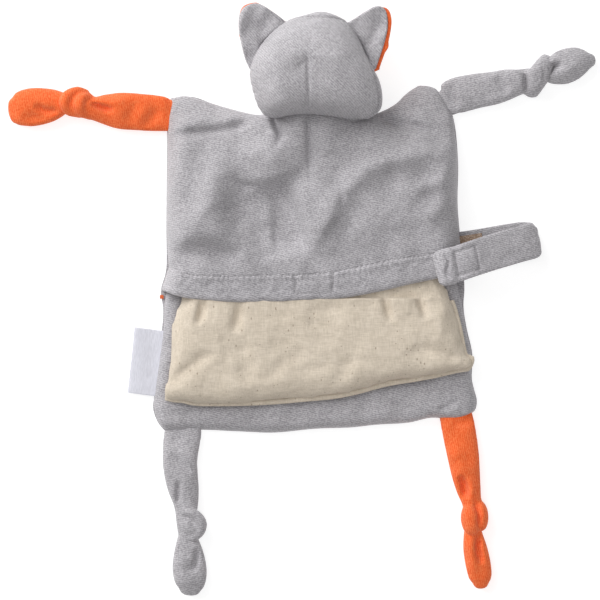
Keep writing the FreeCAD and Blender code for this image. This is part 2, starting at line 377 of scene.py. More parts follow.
def apply_modifiers(obj):
    """Fixes the shape that its modifiers give it."""
    dg = bpy.context.evaluated_depsgraph_get()
    mesh = bpy.data.meshes.new_from_object(obj.evaluated_get(dg))
    old = obj.data
    obj.modifiers.clear()
    obj.data = mesh
    bpy.data.meshes.remove(old)
    mesh.name = obj.name


def joined(lumps):
    """Vertices and faces of several meshes as one."""
    verts, faces, count = [], [], 0
    for v, f in lumps:
        verts.append(v)
        faces += [[i + count for i in face] for face in f]
        count += len(v)
    return np.vstack(verts), faces


def remeshed(obj, voxel):
    """Gives it an even skin with cells of this size in mm."""
    remesh = obj.modifiers.new("skin", "REMESH")
    remesh.mode = "VOXEL"
    remesh.voxel_size = voxel * MM


def moulded(name, lumps, material, voxel=1.3, smooth=6):
    """One skin over several overlapping lumps of stuffing and cloth."""
    obj = make_mesh(name, *joined(lumps), material)
    remeshed(obj, voxel)
    soft = obj.modifiers.new("soft", "SMOOTH")
    soft.factor = 0.5
    soft.iterations = smooth
    apply_modifiers(obj)
    if not obj.data.materials:
        obj.data.materials.append(material)
    smooth_shading(obj)
    return obj


def press(obj, field):
    """Moves the surface by field(x, y) mm along +Z where it faces up, never below the ground."""
    co, n = vertices(obj), normals(obj)
    h = field(co[:, 0], co[:, 1])
    share = np.clip(n[:, 2] * 1.4, 0, 1)
    co[:, 2] += h * share
    co[:, 2] = np.maximum(co[:, 2], 0.0)
    set_vertices(obj, co)


def shifted(points, down):
    """The inner points of a line, moved down in plan."""
    return [(x, y - down) for x, y in points[1:-1]]


def resting(line, grid, lift=0.05):
    """The line laid on the nearest points of a surface grid."""
    flat = grid.reshape(-1, 3)
    plan = spline(line, max(4, int(np.linalg.norm(np.diff(np.array(line), axis=0), axis=1).sum())))
    near = [((flat[:, :2] - q) ** 2).sum(1).argmin() for q in plan]
    return np.column_stack([plan, soften(flat[near, 2][None], 2)[0] + lift])


def sewing(name, lines, material, body, pitch=3.1):
    """Small raised stitches of round thread along lines, as one piece."""
    share, radius, lift = 0.74, 0.26, 0.35
    stitches = []
    for line in lines:
        length = np.linalg.norm(np.diff(line, axis=0), axis=1).sum()
        steps = max(1, int(length / pitch))
        fine = even(line, steps * 8 + 1)
        for k in range(steps):
            path = even(fine[k * 8:k * 8 + 9], 40)[:int(40 * share)]
            path = even(path, 6)
            path[:, 2] += np.sin(np.linspace(0, math.pi, 6)) * lift
            across = np.cross(np.gradient(path, axis=0), [0.03, 0.02, 1.0])
            stitches.append(tube(path, across, np.full((6, 2), radius), sides=8, power=2, caps=2))
    obj = make_mesh(name, *joined(stitches), material)
    recalculate(obj)
    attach(obj, body)


def piece(obj, bodies, nodes):
    """Fixes a finished piece to the body it moves with where one is named, else bakes its place into
    its mesh, and hides the CAD parts it stands for.
    """
    if isinstance(bodies, str):
        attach(obj, bodies)
    else:
        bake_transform(obj)
    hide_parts(*nodes)


# ---------------------------------------------------------------- materials

def linear(rgb):
    """Linear colour with alpha 1 from a display colour."""
    return [c / 12.92 if c <= 0.04045 else ((c + 0.055) / 1.055) ** 2.4 for c in rgb] + [1.0]


class Shader:
    """Small helper to build a node material."""

    def __init__(self, name):
        self.mat = bpy.data.materials.new(name)
        self.mat.use_nodes = True
        self.tree = self.mat.node_tree
        self.bsdf = self.tree.nodes["Principled BSDF"]
        self.at = self.add("ShaderNodeTexCoord").outputs["Object"]

    def add(self, kind, **values):
        """A new node with these settings."""
        node = self.tree.nodes.new(kind)
        for key, value in values.items():
            setattr(node, key, value)
        return node

    def link(self, a, b):
        """Joins an output to an input."""
        self.tree.links.new(a, b)

    def stretched(self, scale, turn=0.0):
        """The object's coordinates turned about +Z and scaled."""
        node = self.add("ShaderNodeMapping")
        node.inputs["Scale"].default_value = scale
        node.inputs["Rotation"].default_value = (0, 0, math.radians(turn))
        self.link(self.at, node.inputs["Vector"])
        return node.outputs["Vector"]

    def noise(self, vector, scale, detail=2.0, rough=0.5, warp=0.0):
        """Noise value between 0 and 1. scale is in features per metre."""
        node = self.add("ShaderNodeTexNoise")
        node.inputs["Scale"].default_value = scale
        node.inputs["Detail"].default_value = detail
        node.inputs["Roughness"].default_value = rough
        node.inputs["Distortion"].default_value = warp
        self.link(vector, node.inputs["Vector"])
        return node.outputs["Fac"]

    def ramp(self, fac, stops):
        """Colour from a value, through (value, colour) stops."""
        node = self.add("ShaderNodeValToRGB")
        ramp = node.color_ramp
        while len(ramp.elements) < len(stops):
            ramp.elements.new(0.5)
        for element, (place, colour) in zip(ramp.elements, stops):
            element.position = place
            element.color = colour
        self.link(fac, node.inputs["Fac"])
        return node.outputs["Color"]

    def maths(self, operation, a, b):
        """Result of an operation on two values or sockets."""
        node = self.add("ShaderNodeMath", operation=operation)
        for value, socket in ((a, node.inputs[0]), (b, node.inputs[1])):
            if isinstance(value, (int, float)):
                socket.default_value = value
            else:
                self.link(value, socket)
        return node.outputs[0]

    def mix(self, fac, a, b, mode="MIX"):
        """Mix of two colours, or their product where mode is MULTIPLY."""
        node = self.add("ShaderNodeMix", data_type="RGBA", blend_type=mode)
        for value, socket in ((fac, node.inputs[0]), (a, node.inputs[6]), (b, node.inputs[7])):
            if isinstance(value, (int, float, list, tuple)):
                socket.default_value = value
            else:
                self.link(value, socket)
        return node.outputs[2]

    def cells(self, vector, scale):
        """Cell pattern node: Distance from each cell's middle, and a random Color for each."""
        node = self.add("ShaderNodeTexVoronoi", feature="F1")
        node.inputs["Scale"].default_value = scale
        self.link(vector, node.inputs["Vector"])
        return node

    def first_channel(self, colour):
        """The red channel of a colour, used as a random number."""
        node = self.add("ShaderNodeSeparateColor")
        self.link(colour, node.inputs[0])
        return node.outputs[0]

    def bump(self, height, distance, strength=1.0, over=None):
        """Surface direction from a height, on top of another one where over is given."""
        node = self.add("ShaderNodeBump")
        node.inputs["Distance"].default_value = distance
        node.inputs["Strength"].default_value = strength
        self.link(height, node.inputs["Height"])
        if over is not None:
            self.link(over, node.inputs["Normal"])
        return node.outputs["Normal"]

    def finish(self, colour, normal, values):
        """Joins colour and surface direction to the surface and sets its other values."""
        self.link(colour, self.bsdf.inputs["Base Color"])
        self.link(normal, self.bsdf.inputs["Normal"])
        self.set(values)
        return self.mat

    def set(self, values):
        """Sets the surface's own values by name."""
        for name, value in values.items():
            self.bsdf.inputs[name].default_value = value


def velour(name, base, shade, tip, turn=0.0, seed=0.0, contrast=1.0):
    """Short-pile velour: fine uneven ribs of tufts, and soft patches where the pile lies another
    way. seed moves the pattern, so no two pieces repeat it."""
    rib_pitch = 0.0016
    band_period = 0.314
    s = Shader(name)
    place = s.add("ShaderNodeMapping")
    place.inputs["Location"].default_value = (seed, seed * 0.7, seed * 1.3)
    place.inputs["Rotation"].default_value = (0, 0, math.radians(turn))
    s.link(s.at, place.inputs["Vector"])
    at = place.outputs["Vector"]
    ribs = s.add("ShaderNodeTexWave", wave_type="BANDS", bands_direction="Y")
    ribs.inputs["Scale"].default_value = band_period / rib_pitch
    ribs.inputs["Distortion"].default_value = 5.0
    ribs.inputs["Detail"].default_value = 2.0
    ribs.inputs["Detail Scale"].default_value = 0.7
    s.link(at, ribs.inputs["Vector"])
    lean = s.add("ShaderNodeMapping")
    lean.inputs["Scale"].default_value = (0.8, 1.0, 1.0)
    s.link(at, lean.inputs["Vector"])
    tuft = s.noise(lean.outputs["Vector"], 860, 2, 0.5, 0.4)
    cloud = s.noise(at, 70, 3, 0.55, 0.5)
    patch = s.noise(at, 19, 2, 0.5, 0.3)
    pile = s.maths("ADD", s.maths("MULTIPLY", ribs.outputs["Fac"], 0.18),
                   s.maths("MULTIPLY", tuft, 0.82))
    fine = s.ramp(pile, [(0.36, linear(shade)), (0.5, linear(base)), (0.64, linear(tip))])
    wide = s.maths("ADD", s.maths("MULTIPLY", cloud, 0.5), s.maths("MULTIPLY", patch, 0.5))
    dark = 1.0 - 0.09 * contrast
    light = 1.0 + 0.07 * contrast
    tone = s.ramp(wide, [(0.36, [dark, dark, dark, 1]), (0.5, [1, 1, 1, 1]),
                         (0.64, [light, light, light, 1])])
    colour = s.mix(1.0, fine, tone, "MULTIPLY")
    # painted sheen: the colour is lightened towards a pale tip tone where the surface turns away from
    # the view, most on the tufts
    edge = s.add("ShaderNodeLayerWeight")
    edge.inputs["Blend"].default_value = 0.3
    painted_sheen = s.maths("MULTIPLY", edge.outputs["Facing"], s.maths("MULTIPLY", tuft, 0.9))
    sheen_tone = [c + (1 - c) * 0.35 for c in tip]
    soft = s.bump(cloud, 0.0006, 0.4)
    return s.finish(s.mix(painted_sheen, colour, linear(sheen_tone)), s.bump(pile, 0.00045, 0.75, soft), {
        "Roughness": 0.95, "Specular IOR Level": 0.12, "Sheen Weight": 0.28,
        "Sheen Roughness": 0.4, "Sheen Tint": linear(tip)})


def calico(name):
    """Plain-woven undyed cotton with slubs and dark seed flecks."""
    s = Shader(name)
    warp = s.noise(s.stretched((1.0, 0.12, 1.0)), 1150, 3, 0.6)
    weft = s.noise(s.stretched((0.12, 1.0, 1.0)), 1150, 3, 0.6)
    threads = s.maths("MULTIPLY", s.maths("ADD", warp, weft), 0.5)
    tone = s.ramp(threads, [(0.38, linear((0.765, 0.72, 0.652))),
                            (0.5, linear((0.81, 0.763, 0.697))),
                            (0.62, linear((0.85, 0.805, 0.742)))])
    cloud = s.noise(s.at, 30, 3, 0.5, 0.3)
    soft = s.ramp(cloud, [(0.35, [0.95, 0.945, 0.94, 1]), (0.65, [1.03, 1.03, 1.03, 1])])
    tone = s.mix(1.0, tone, soft, "MULTIPLY")
    for scale, keep, long_way in ((330, 0.10, (1.0, 0.6, 1.0)), (520, 0.07, (0.6, 1.0, 1.0))):
        cells = s.cells(s.stretched(long_way, 12), scale)
        chosen = s.maths("LESS_THAN", s.first_channel(cells.outputs["Color"]), keep)
        spot = s.maths("LESS_THAN", cells.outputs["Distance"], 0.2)
        fleck = s.maths("MULTIPLY", chosen, spot)
        tone = s.mix(s.maths("MULTIPLY", fleck, 0.5), tone, linear((0.46, 0.37, 0.29)))
    wrinkle = s.bump(s.noise(s.at, 95, 4, 0.55, 0.8), 0.0009, 0.4)
    return s.finish(tone, s.bump(threads, 0.00035, 0.9, wrinkle), {
        "Roughness": 0.9, "Specular IOR Level": 0.2, "Sheen Weight": 0.08})


def satin(name):
    """Woven label ribbon with a soft shine and no print."""
    s = Shader(name)
    weave = s.noise(s.stretched((1.0, 0.12, 1.0), 6), 1900, 2, 0.5)
    tone = s.ramp(weave, [(0.3, linear((0.775, 0.775, 0.81))), (0.7, linear((0.845, 0.845, 0.88)))])
    wavy = s.bump(s.noise(s.at, 70, 2), 0.0006, 0.5)
    return s.finish(tone, s.bump(weave, 0.0001, 0.5, wavy), {"Roughness": 0.42, "Anisotropic": 0.4})


def hook_tape(name):
    """Hook-and-loop tape: small rough dots side by side."""
    s = Shader(name)
    dots = s.cells(s.at, 900).outputs["Distance"]
    tone = s.ramp(dots, [(0.1, linear((0.78, 0.70, 0.63))), (0.6, linear((0.60, 0.50, 0.42)))])
    return s.finish(tone, s.bump(dots, 0.0006, 0.8), {"Roughness": 0.75})


def thread(name, colour):
    """Twisted sewing thread."""
    s = Shader(name)
    wave = s.add("ShaderNodeTexWave", wave_type="BANDS")
    wave.inputs["Scale"].default_value = 900
    s.link(s.stretched((1, 1, 1), 35), wave.inputs["Vector"])
    twist = wave.outputs["Fac"]
    dark = [c * 0.8 for c in colour]
    tone = s.ramp(twist, [(0.2, linear(dark)), (0.8, linear(colour))])
    return s.finish(tone, s.bump(twist, 0.0002, 0.6), {"Roughness": 0.6})


# each velour colour: base, between the tufts, and at their tips
GREY = ((0.650, 0.639, 0.652), (0.56, 0.55, 0.563), (0.735, 0.724, 0.737))
ORANGE = ((0.94, 0.43, 0.23), (0.91, 0.36, 0.17), (0.965, 0.50, 0.30))
GREY_BODY = velour("grey_velour_body", *GREY, turn=14, seed=0.13)
LIGHT_GREY = [tuple(c * 1.03 for c in tone) for tone in GREY]
GREY_HEAD = velour("grey_velour_head", *LIGHT_GREY, turn=44, seed=0.41)
GREY_LIMB = velour("grey_velour_limb", *GREY, turn=-12, seed=0.77)
GREY_STRAP = velour("grey_velour_strap", *LIGHT_GREY, turn=16, seed=0.59)
ORANGE_VELOUR = velour("orange_velour", *ORANGE, turn=80, seed=0.29, contrast=0.7)
CALICO = calico("calico")
SATIN = satin("satin")
TAPE = hook_tape("hook_tape")
ORANGE_THREAD = thread("orange_thread", (0.92, 0.42, 0.18))
GREY_THREAD = thread("grey_thread", (0.77, 0.76, 0.77))


# ---------------------------------------------------------------- body panels

def flap_base(x, y):
    """The flap over the cushion: high over it, low at the shoulders, up again at the neck."""
    h = np.interp(y, [-10, 30, 66, 88, 104, 120, 134, 150, 172],
                  [29.5, 30, 31, 30.5, 29.5, 28, 23, 15, 8])
    h = h + bump(x, y, (11, 158), (38, 26), 15)
    return h + bump(x, y, (8, 60), (95, 60), 1.2)


BROAD_FOLDS = [
    # long crest down the left side, and the ground falling away from it to the valley
    (crease, [(-96, 36), (-84, 57), (-72, 80), (-68, 100), (-70, 118)], 9.0, 12, 0.25),
    (ramp, [(7, 40), (2, 58), (-5, 80), (-14, 98)], 12.0, 3.6, 60, 0.25),
    (bump, (-66, 52), (12, 9), 5.4),
    (crease, [(13, 34), (9, 56), (4, 78), (-2, 96)], 3.0, 5, 0.2),
    (crease, [(-104, 40), (-86, 38.5), (-70, 37), (-48, 33)], -6.0, 6.5, 0.2),
    # round lobe left of the dart, overhanging the hollow
    (bump, (-22, 114), (22, 18), 7.6, -20),
    (drop, [(8, 126), (4, 111), (-6, 100), (-22, 93), (-38, 92), (-54, 97)], -8.0, 3.2, 22, 0.25),
    (crease, [(-26, 84), (-25, 64), (-22, 38)], 3.6, 5),
    # flat ground between the valley and the long crest
    (bump, (15, 80), (15, 26), 6.0, 12),
    # one long crest, up from the hem and out across the right shoulder blade
    (crease, [(14, 36), (18, 54), (28, 74), (39, 91), (54, 105), (72, 112), (96, 116), (126, 108)],
     7.4, 8.5, 0.2),
    (crease, [(30, 40), (38, 58), (50, 76), (66, 90), (86, 98)], -1.6, 8, 0.25),
    (bump, (34, 118), (26, 12), 2.6, -8),
    (crease, [(122, 98), (104, 91), (88, 84)], 3.6, 7, 0.3),
    (bump, (105, 82), (12, 7), -4.0, -25),
    (crease, [(118, 86), (108, 72), (98, 60)], 3.0, 6, 0.3),
    (crease, [(128, 78), (118, 66), (108, 54)], -2.4, 5, 0.3),
    (bump, (62, 62), (20, 13), 2.2, 35),
    (crease, [(76, 30), (70, 44), (70, 58)], -2.0, 9),
    # shoulders
    (crease, [(-100, 141), (-78, 142), (-56, 144), (-40, 149)], 4.0, 8, 0.25),
    (crease, [(64, 152), (84, 150), (108, 146)], 3.0, 9, 0.3),
    (crease, [(34, 128), (60, 127), (96, 122)], 2.6, 9, 0.3),
    # fullness where the neck is gathered
    (bump, (0, 137), (13, 11), 7.0),
    (bump, (20, 133), (10, 14), 6.0),
    (bump, (-38, 141), (12, 8), 3.0),
]
SHARP_FOLDS = [
    # lines where the back drops to the shoulders
    (crease, [(-38, 143), (-51, 138), (-65, 135), (-80, 133.5), (-100, 132)], -5.6, 3.4, 0.2),
    (crease, [(-22, 154), (-20, 143), (-14, 128)], -9.0, 2.8, 0.25),
    (crease, [(-22, 118), (-16, 128), (-8, 134)], -2.4, 3.0, 0.3),
    (crease, [(110, 134), (92, 138), (78, 141), (62, 146), (50, 149)], -5.0, 3.2, 0.25),
    # dart running down from the neck
    (crease, [(5.5, 158), (6.6, 140), (7.4, 124), (8, 104), (7, 92)], -3.0, 1.3, 0.2),
    (crease, [(5.5, 158), (6.6, 140), (7.4, 124), (8, 104)], -2.2, 3.0, 0.3),
    # small sharp puckers
    (crease, [(31, 90), (34, 81), (32, 70)], -2.0, 2.2, 0.35),
    (crease, [(-19, 60), (-20, 50), (-17, 42)], -2.4, 2.4, 0.35),
    (crease, [(-54, 97), (-44, 91), (-34, 90)], -2.6, 2.4, 0.35),
    (crease, [(-92, 45), (-80, 42.5), (-68, 42)], -2.0, 1.8, 0.35),
    (crease, [(20, 44), (25, 56), (32, 68)], -2.6, 3.0, 0.35),
    (crease, [(92, 112), (108, 111), (122, 105)], -1.6, 2.6, 0.35),
]


def broad_folds(x, y):
    """The flap's wide folds and its slight unevenness."""
    return folds_on(x, y, BROAD_FOLDS) + ripple(x, y, 36, 3) * 1.1 + ripple(x, y, 15, 5) * 0.5


def sharp_folds(x, y):
    """The flap's narrow folds."""
    return folds_on(x, y, SHARP_FOLDS)


def flap_folds(x, y):
    """The folds on a grid, where they can be blurred."""
    return soften(broad_folds(x, y), 6) + soften(sharp_folds(x, y), 1)


def flap_line(x, y):
    """The same folds at scattered points, without the blur."""
    return broad_folds(x, y) + sharp_folds(x, y)


FLAP_TOP = [(-103, 160.5), (-95, 162.6), (-86, 162), (-68, 156.2), (-48, 150.6), (-34, 147.6),
            (-22, 147), (-8, 149.6), (6, 152.4), (22, 151.4), (36, 148), (48, 146.4), (60, 148.5),
            (76, 156), (84, 163.5), (91.5, 169), (98, 171.2), (107, 169.6), (111.5, 165.5)]
FLAP_LEFT = [(-103, 160.5), (-105.5, 144), (-106, 112), (-106.5, 70), (-106, 42), (-105, 26)]
FLAP_RIGHT = [(111.5, 165.5), (116, 158), (122, 146.5), (123.6, 136), (126, 112), (125.6, 80),
              (127, 58), (129, 40)]
HEM_SEAM = [(-105, 26), (-98, 23), (-84, 20.8), (-68, 20.2), (-44, 20), (-20, 20.6), (-4, 20.8),
            (18, 22.2), (33, 24.4), (56, 29), (79, 33.6), (108, 38), (129, 40)]
HEM_EDGE = [(-110.5, 9), (-98, 3.2), (-82, 0.6), (-66, -0.8), (-46, -1.8), (-20, -1.4), (7, 0),
            (33, 1.4), (64, 7), (85, 12), (106, 16.5), (120, 20), (131, 23)]


def plan_grid(top, bottom, left, right, rows, cols):
    """Grid of plan points inside four outline curves, with its x and y."""
    plan = coons(spline(top, cols), spline(bottom, cols), spline(left, rows), spline(right, rows))
    return plan, plan[..., 0], plan[..., 1]


def side_rise(plan, roll_mm):
    """How far cloth has risen from its sewn sides: 0 at the side edges, 1 past the roll."""
    u = np.linspace(0, 1, plan.shape[1])[None, :]
    widths = np.hypot(*(plan[:, -1] - plan[:, 0]).T)
    return rounded(np.minimum(u, 1 - u) * widths[:, None], roll_mm)


def flap_piece():
    """The upper back panel, from the shoulders down to the hem seam."""
    rows, cols = 118, 196
    edge_z, length, thick = 4.2, 135, 2.3
    plan, x, y = plan_grid(FLAP_TOP, HEM_SEAM, FLAP_LEFT, FLAP_RIGHT, rows, cols)
    side = side_rise(plan, 17)
    top = rounded(np.linspace(0, 1, rows)[:, None] * length, 9)
    # at the neck the flap runs on into the head, so it stays up there
    neck = np.exp(-(((x - 13) / 47) ** 6))
    top = np.maximum(top, neck)
    full = flap_base(x, y) + flap_folds(x, y)
    z = edge_z + (full - edge_z) * side * (0.25 + 0.75 * top)
    obj = slab("upper_back_panel", np.dstack([x, y, z]), thick, GREY_BODY, rim=5)
    piece(obj, "body", ["upper_back_panel"])


HEM_WIDTH = 22
# the sewn box over the fastener under the hem
STITCH_BOX = [[(-3.2, 21), (-3.6, 5)], [(26.4, 22.6), (26.0, 6)], [(-3.6, 5), (26, 6)]]


def hem_surface(x, y, v):
    """Upper face of the hem, v running from 0 at the seam to 1 at the folded edge."""
    down = v * HEM_WIDTH
    full = flap_base(x, y) + flap_folds(x, y) * (1 - v) ** 1.5 * 0.8 + 1.0
    full = full + ripple(x, y, 26, 11) * 0.55 * v + ripple(x, y, 9, 12) * 0.22
    groove = np.exp(-((down / 1.3) ** 2)) * 1.9 - np.exp(-(((down - 3.2) / 1.8) ** 2)) * 0.5
    pucker = 0.5 * np.sin(x * math.tau / 4.2 + ripple(x, y, 20, 9)) * np.exp(-v * HEM_WIDTH / 4.0)
    for line in STITCH_BOX[:2]:
        full = full + crease(x, y, line, -1.3, 1.2, 0.05)
    full = full + crease(x, y, STITCH_BOX[2], -0.6, 1.1, 0.05)
    full = full + bump(x, y, (11.5, 14), (13, 7), 0.5)
    roll_down = (1 - rounded((1 - v) * HEM_WIDTH, 4.2)) * 2.4
    return full - groove + pucker - roll_down


def hem_piece():
    """The turned-up hem under it, with its stitches."""
    rows, cols = 34, 300
    edge_z, thick = 4.4, 3.6
    plan, x, y = plan_grid(HEM_SEAM, HEM_EDGE, [HEM_SEAM[0], HEM_EDGE[0]],
                           [HEM_SEAM[-1], HEM_EDGE[-1]], rows, cols)
    v = np.linspace(0, 1, rows)[:, None]
    z = edge_z + (hem_surface(x, y, v) - edge_z) * side_rise(plan, 15)
    grid = np.dstack([x, y, z])
    obj = slab("upper_back_hem", grid, thick, GREY_BODY, rim=6)
    piece(obj, "body", ["upper_back_hem"])
    lines = [resting(line, grid) for line in [shifted(HEM_SEAM, 1.0)] + STITCH_BOX]
    sewing("hem_stitches", lines, GREY_THREAD, "body")


BODY_TOP = [(-103, 161), (-86, 162), (-68, 156), (-48, 150.4), (-28, 146), (-14, 144), (14, 144),
            (42, 144.5), (60, 148), (76, 156), (84, 163.5), (91.5, 169), (98, 171), (111, 166)]
BODY_LEFT = [(-103, 161), (-105.5, 144), (-106, 112), (-106.5, 60), (-106.5, 26), (-110.8, 8),
             (-109, -8), (-110.4, -27), (-116, -75), (-117, -87), (-113, -98), (-107, -105)]
BODY_RIGHT = [(111, 166), (122, 146.5), (126, 112), (125.6, 80), (127, 58), (131, 14), (130.4, -5),
              (132.8, -22), (137.4, -43), (137, -62), (139, -72), (141, -80), (139.5, -88),
              (133, -92)]
BODY_BOTTOM = [(-107, -105), (-95, -104.6), (-78, -103.4), (-50, -104.6), (-20, -105.6),
               (12, -102.6), (40, -101.6), (61, -99.4), (86, -97.8), (105, -93.8), (122, -95.2),
               (133, -92)]


def front_piece():
    """The panel that lies on the ground, under all the rest."""
    rows, cols = 150, 130
    top_z, edge_low, length, roll_mm = 3.4, 2.6, 265, 9
    plan, x, y = plan_grid(BODY_TOP, BODY_BOTTOM, BODY_LEFT, BODY_RIGHT, rows, cols)
    ends = np.minimum(np.linspace(0, 1, rows), np.linspace(1, 0, rows))[:, None] * length
    d = np.minimum(side_rise(plan, roll_mm), rounded(ends, roll_mm))
    wave = (ripple(x, y, 40, 21) * 0.5 + 0.6).clip(0, 1.4)
    low = edge_low * (1 - d) + 0.25 * wave * d
    obj = slab("front_panel", np.dstack([x, y, top_z + 0 * x]), 2.4, GREY_BODY, rim=5,
               under=np.dstack([x, y, low]))
    piece(obj, "body", ["front_panel"])


LOWER_MOUTH = [(-100.5, 44), (-60, 42), (10, 42), (80, 42), (121, 44)]
LOWER_LEFT = [(-100.5, 44), (-104, 14), (-108, 0), (-109.6, -27), (-115.6, -72), (-116.6, -86),
              (-113, -98), (-106.5, -105)]
LOWER_RIGHT = [(121, 44), (125, 16), (129.8, -5), (132.4, -22), (137, -43), (136.8, -62),
               (139, -72), (140.6, -80), (139.4, -88), (133, -92.4)]


def lower_piece():
    """The lower back panel, from inside the pocket's mouth to the legs."""
    rows, cols = 130, 190
    edge_z, length, thick = 3.6, 145, 2.2
    plan, x, y = plan_grid(LOWER_MOUTH, BODY_BOTTOM, LOWER_LEFT, LOWER_RIGHT, rows, cols)
    up = np.linspace(1, 0, rows)[:, None] * length
    full = 12.4 + 0.9 * np.exp(-(((up - 12) / 9) ** 2))
    full = full + ripple(x, y, 30, 31) * 0.7 + ripple(x, y, 12, 32) * 0.22
    full = full + crease(x, y, [(110, -88), (118, -85), (127, -79)], -2.4, 2.6)
    full = full + crease(x, y, [(-60, -100), (-30, -95), (10, -94)], -0.9, 3.0)
    full = full + crease(x, y, [(-112, -90), (-100, -92), (-84, -95)], -1.0, 3.0)
    z = edge_z + (full - edge_z) * np.minimum(side_rise(plan, 9), rounded(up, 13))
    obj = slab("lower_back_panel", np.dstack([x, y, z]), thick, GREY_BODY, rim=5)
    piece(obj, "body", ["lower_back_panel"])


flap_piece()
hem_piece()
front_piece()
lower_piece()


# ---------------------------------------------------------------- cushion

CUSHION_LEFT = [(-90, 74), (-94, 60), (-94.5, 20), (-97, 2), (-101.5, -7), (-104, -21),
                (-105, -40), (-107.5, -58), (-108.5, -66), (-110.5, -72), (-109.5, -79.5)]
CUSHION_RIGHT = [(108, 74), (112.5, 60), (113.5, 24), (119, 10), (125, -5), (130, -24),
                 (134, -43), (137, -46.5), (140, -47.5), (138.6, -53), (136.5, -55.8)]
CUSHION_BOTTOM = [(-109.5, -79.5), (-103, -81), (-96, -81.6), (-83, -84), (-50, -84), (-20, -82.6),
                  (0, -80.8), (26, -78.4), (46, -74.6), (71, -68), (95, -64), (112, -60.8),
                  (128, -57), (136.5, -55.8)]
CUSHION_TOP = [(-90, 74), (-60, 77), (10, 77), (80, 77), (108, 74)]


def inflate(obj, pressure, frames, cap):
    """Blows a closed cover up with the cloth solver, moving no point further than cap mm."""
    rest = vertices(obj)
    settings = obj.modifiers.new("cloth", "CLOTH").settings
    settings.quality = 6
    settings.mass = 0.3
    settings.tension_stiffness = 15
    settings.compression_stiffness = 15
    settings.shear_stiffness = 5
    settings.bending_stiffness = 0.4
    settings.use_pressure = True
    settings.uniform_pressure_force = pressure
    settings.effector_weights.gravity = 0
    scene = bpy.context.scene
    for frame_number in range(1, frames + 1):
        scene.frame_set(frame_number)
    shape = obj.evaluated_get(bpy.context.evaluated_depsgraph_get())
    co = np.zeros(len(rest) * 3)
    shape.data.vertices.foreach_get("co", co)
    obj.modifiers.clear()
    scene.frame_set(1)
    # the outline in plan is measured, so most of the growth is kept to the height
    moved = (co.reshape(-1, 3) / MM - rest) * [0.25, 0.25, 1.0]
    far = np.maximum(np.linalg.norm(moved, axis=1, keepdims=True), 1e-9)
    set_vertices(obj, rest + moved * np.minimum(1, cap / far))


CUSHION_FOLDS = [
    (crease, [(-77, 4), (-78, -8), (-82, -22)], -5.0, 3.6, 0.35),
    (crease, [(-62, 0), (-62, -12), (-64, -24)], 2.4, 5, 0.35),
    (crease, [(-48, 2), (-49, -12), (-52, -26)], -4.0, 3.8, 0.35),
    (crease, [(66, 10), (69, -4), (73, -18)], -4.4, 3.4, 0.35),
    (crease, [(80, 12), (82, 0), (86, -12)], 2.0, 4, 0.35),
    (crease, [(93, 16), (96, 0), (101, -16)], -4.6, 3.6, 0.35),
    (crease, [(-94, -6), (-74, -26), (-66, -52)], 2.6, 7, 0.3),
    (crease, [(-104, -66), (-86, -52), (-66, -40)], -3.0, 5, 0.3),
    (crease, [(-50, -30), (-42, -50), (-44, -70)], -2.0, 7, 0.3),
    (crease, [(-28, -66), (-12, -48), (6, -40)], -1.8, 6, 0.3),
    (crease, [(132, -52), (112, -42), (90, -36)], -3.0, 5, 0.3),
    (crease, [(28, -72), (36, -54), (46, -40)], -1.8, 6, 0.3),
    (crease, [(118, 6), (112, -16), (110, -34)], 2.2, 6, 0.3),
    (crease, [(8, 0), (10, -12), (10, -26)], -1.0, 6, 0.3),
    (bump, (-20, -22), (26, 16), 1.2),
    (bump, (60, -34), (24, 14), 1.2),
]


def cushion_folds(x, y):
    """The cushion's puckers, deepest just below the hem."""
    folds = folds_on(x, y, CUSHION_FOLDS)
    return folds + ripple(x, y, 26, 41) * 0.5 + ripple(x, y, 10, 42) * 0.16


def cushion_block():
    """The filled cover before its cloth is creased: two faces that meet at the sewn edge."""
    rows, cols = 60, 90
    length = 158
    edge_top, full_top, edge_low, full_low = 16.5, 26.6, 15.6, 13.2
    plan, x, y = plan_grid(CUSHION_TOP, CUSHION_BOTTOM, CUSHION_LEFT, CUSHION_RIGHT, rows, cols)
    side = side_rise(plan, 30)
    v = np.linspace(0, 1, rows)[:, None] * length
    puffed = np.minimum(side, np.minimum(rounded(v, 26), rounded(length - v, 22)))
    high = edge_top + (full_top - edge_top) * puffed
    sagged = np.minimum(side, rounded(np.minimum(v, length - v), 22))
    low = edge_low - (edge_low - full_low) * sagged
    obj = slab("cushion_cover", np.dstack([x, y, high]), 2, CALICO, rim=4,
               under=np.dstack([x, y, low]))
    remeshed(obj, 4)
    apply_modifiers(obj)
    return obj


def cushion_seam():
    """The rolled seam along the edge that shows below the flap and up its right side."""
    seam_z = 16.6
    outline = np.vstack([spline(CUSHION_BOTTOM, 150), spline(CUSHION_RIGHT, 90)[::-1][1:40]])
    outline = np.column_stack([outline, np.full(len(outline), seam_z)])
    outline[:, 2] += ripple(outline[:, 0], outline[:, 1], 12, 44) * 0.4
    across = np.cross(np.gradient(outline, axis=0), [0.02, 0.01, 1.0])
    inward = outline + (np.array([10.0, -10.0, seam_z]) - outline) * 0.024
    radii = np.full((len(outline), 2), 1.0) + [1.4, 0]
    seam = make_mesh("cushion_seam", *tube(inward, across, radii, sides=10, power=2, caps=2), CALICO)
    piece(seam, "cushion", [])


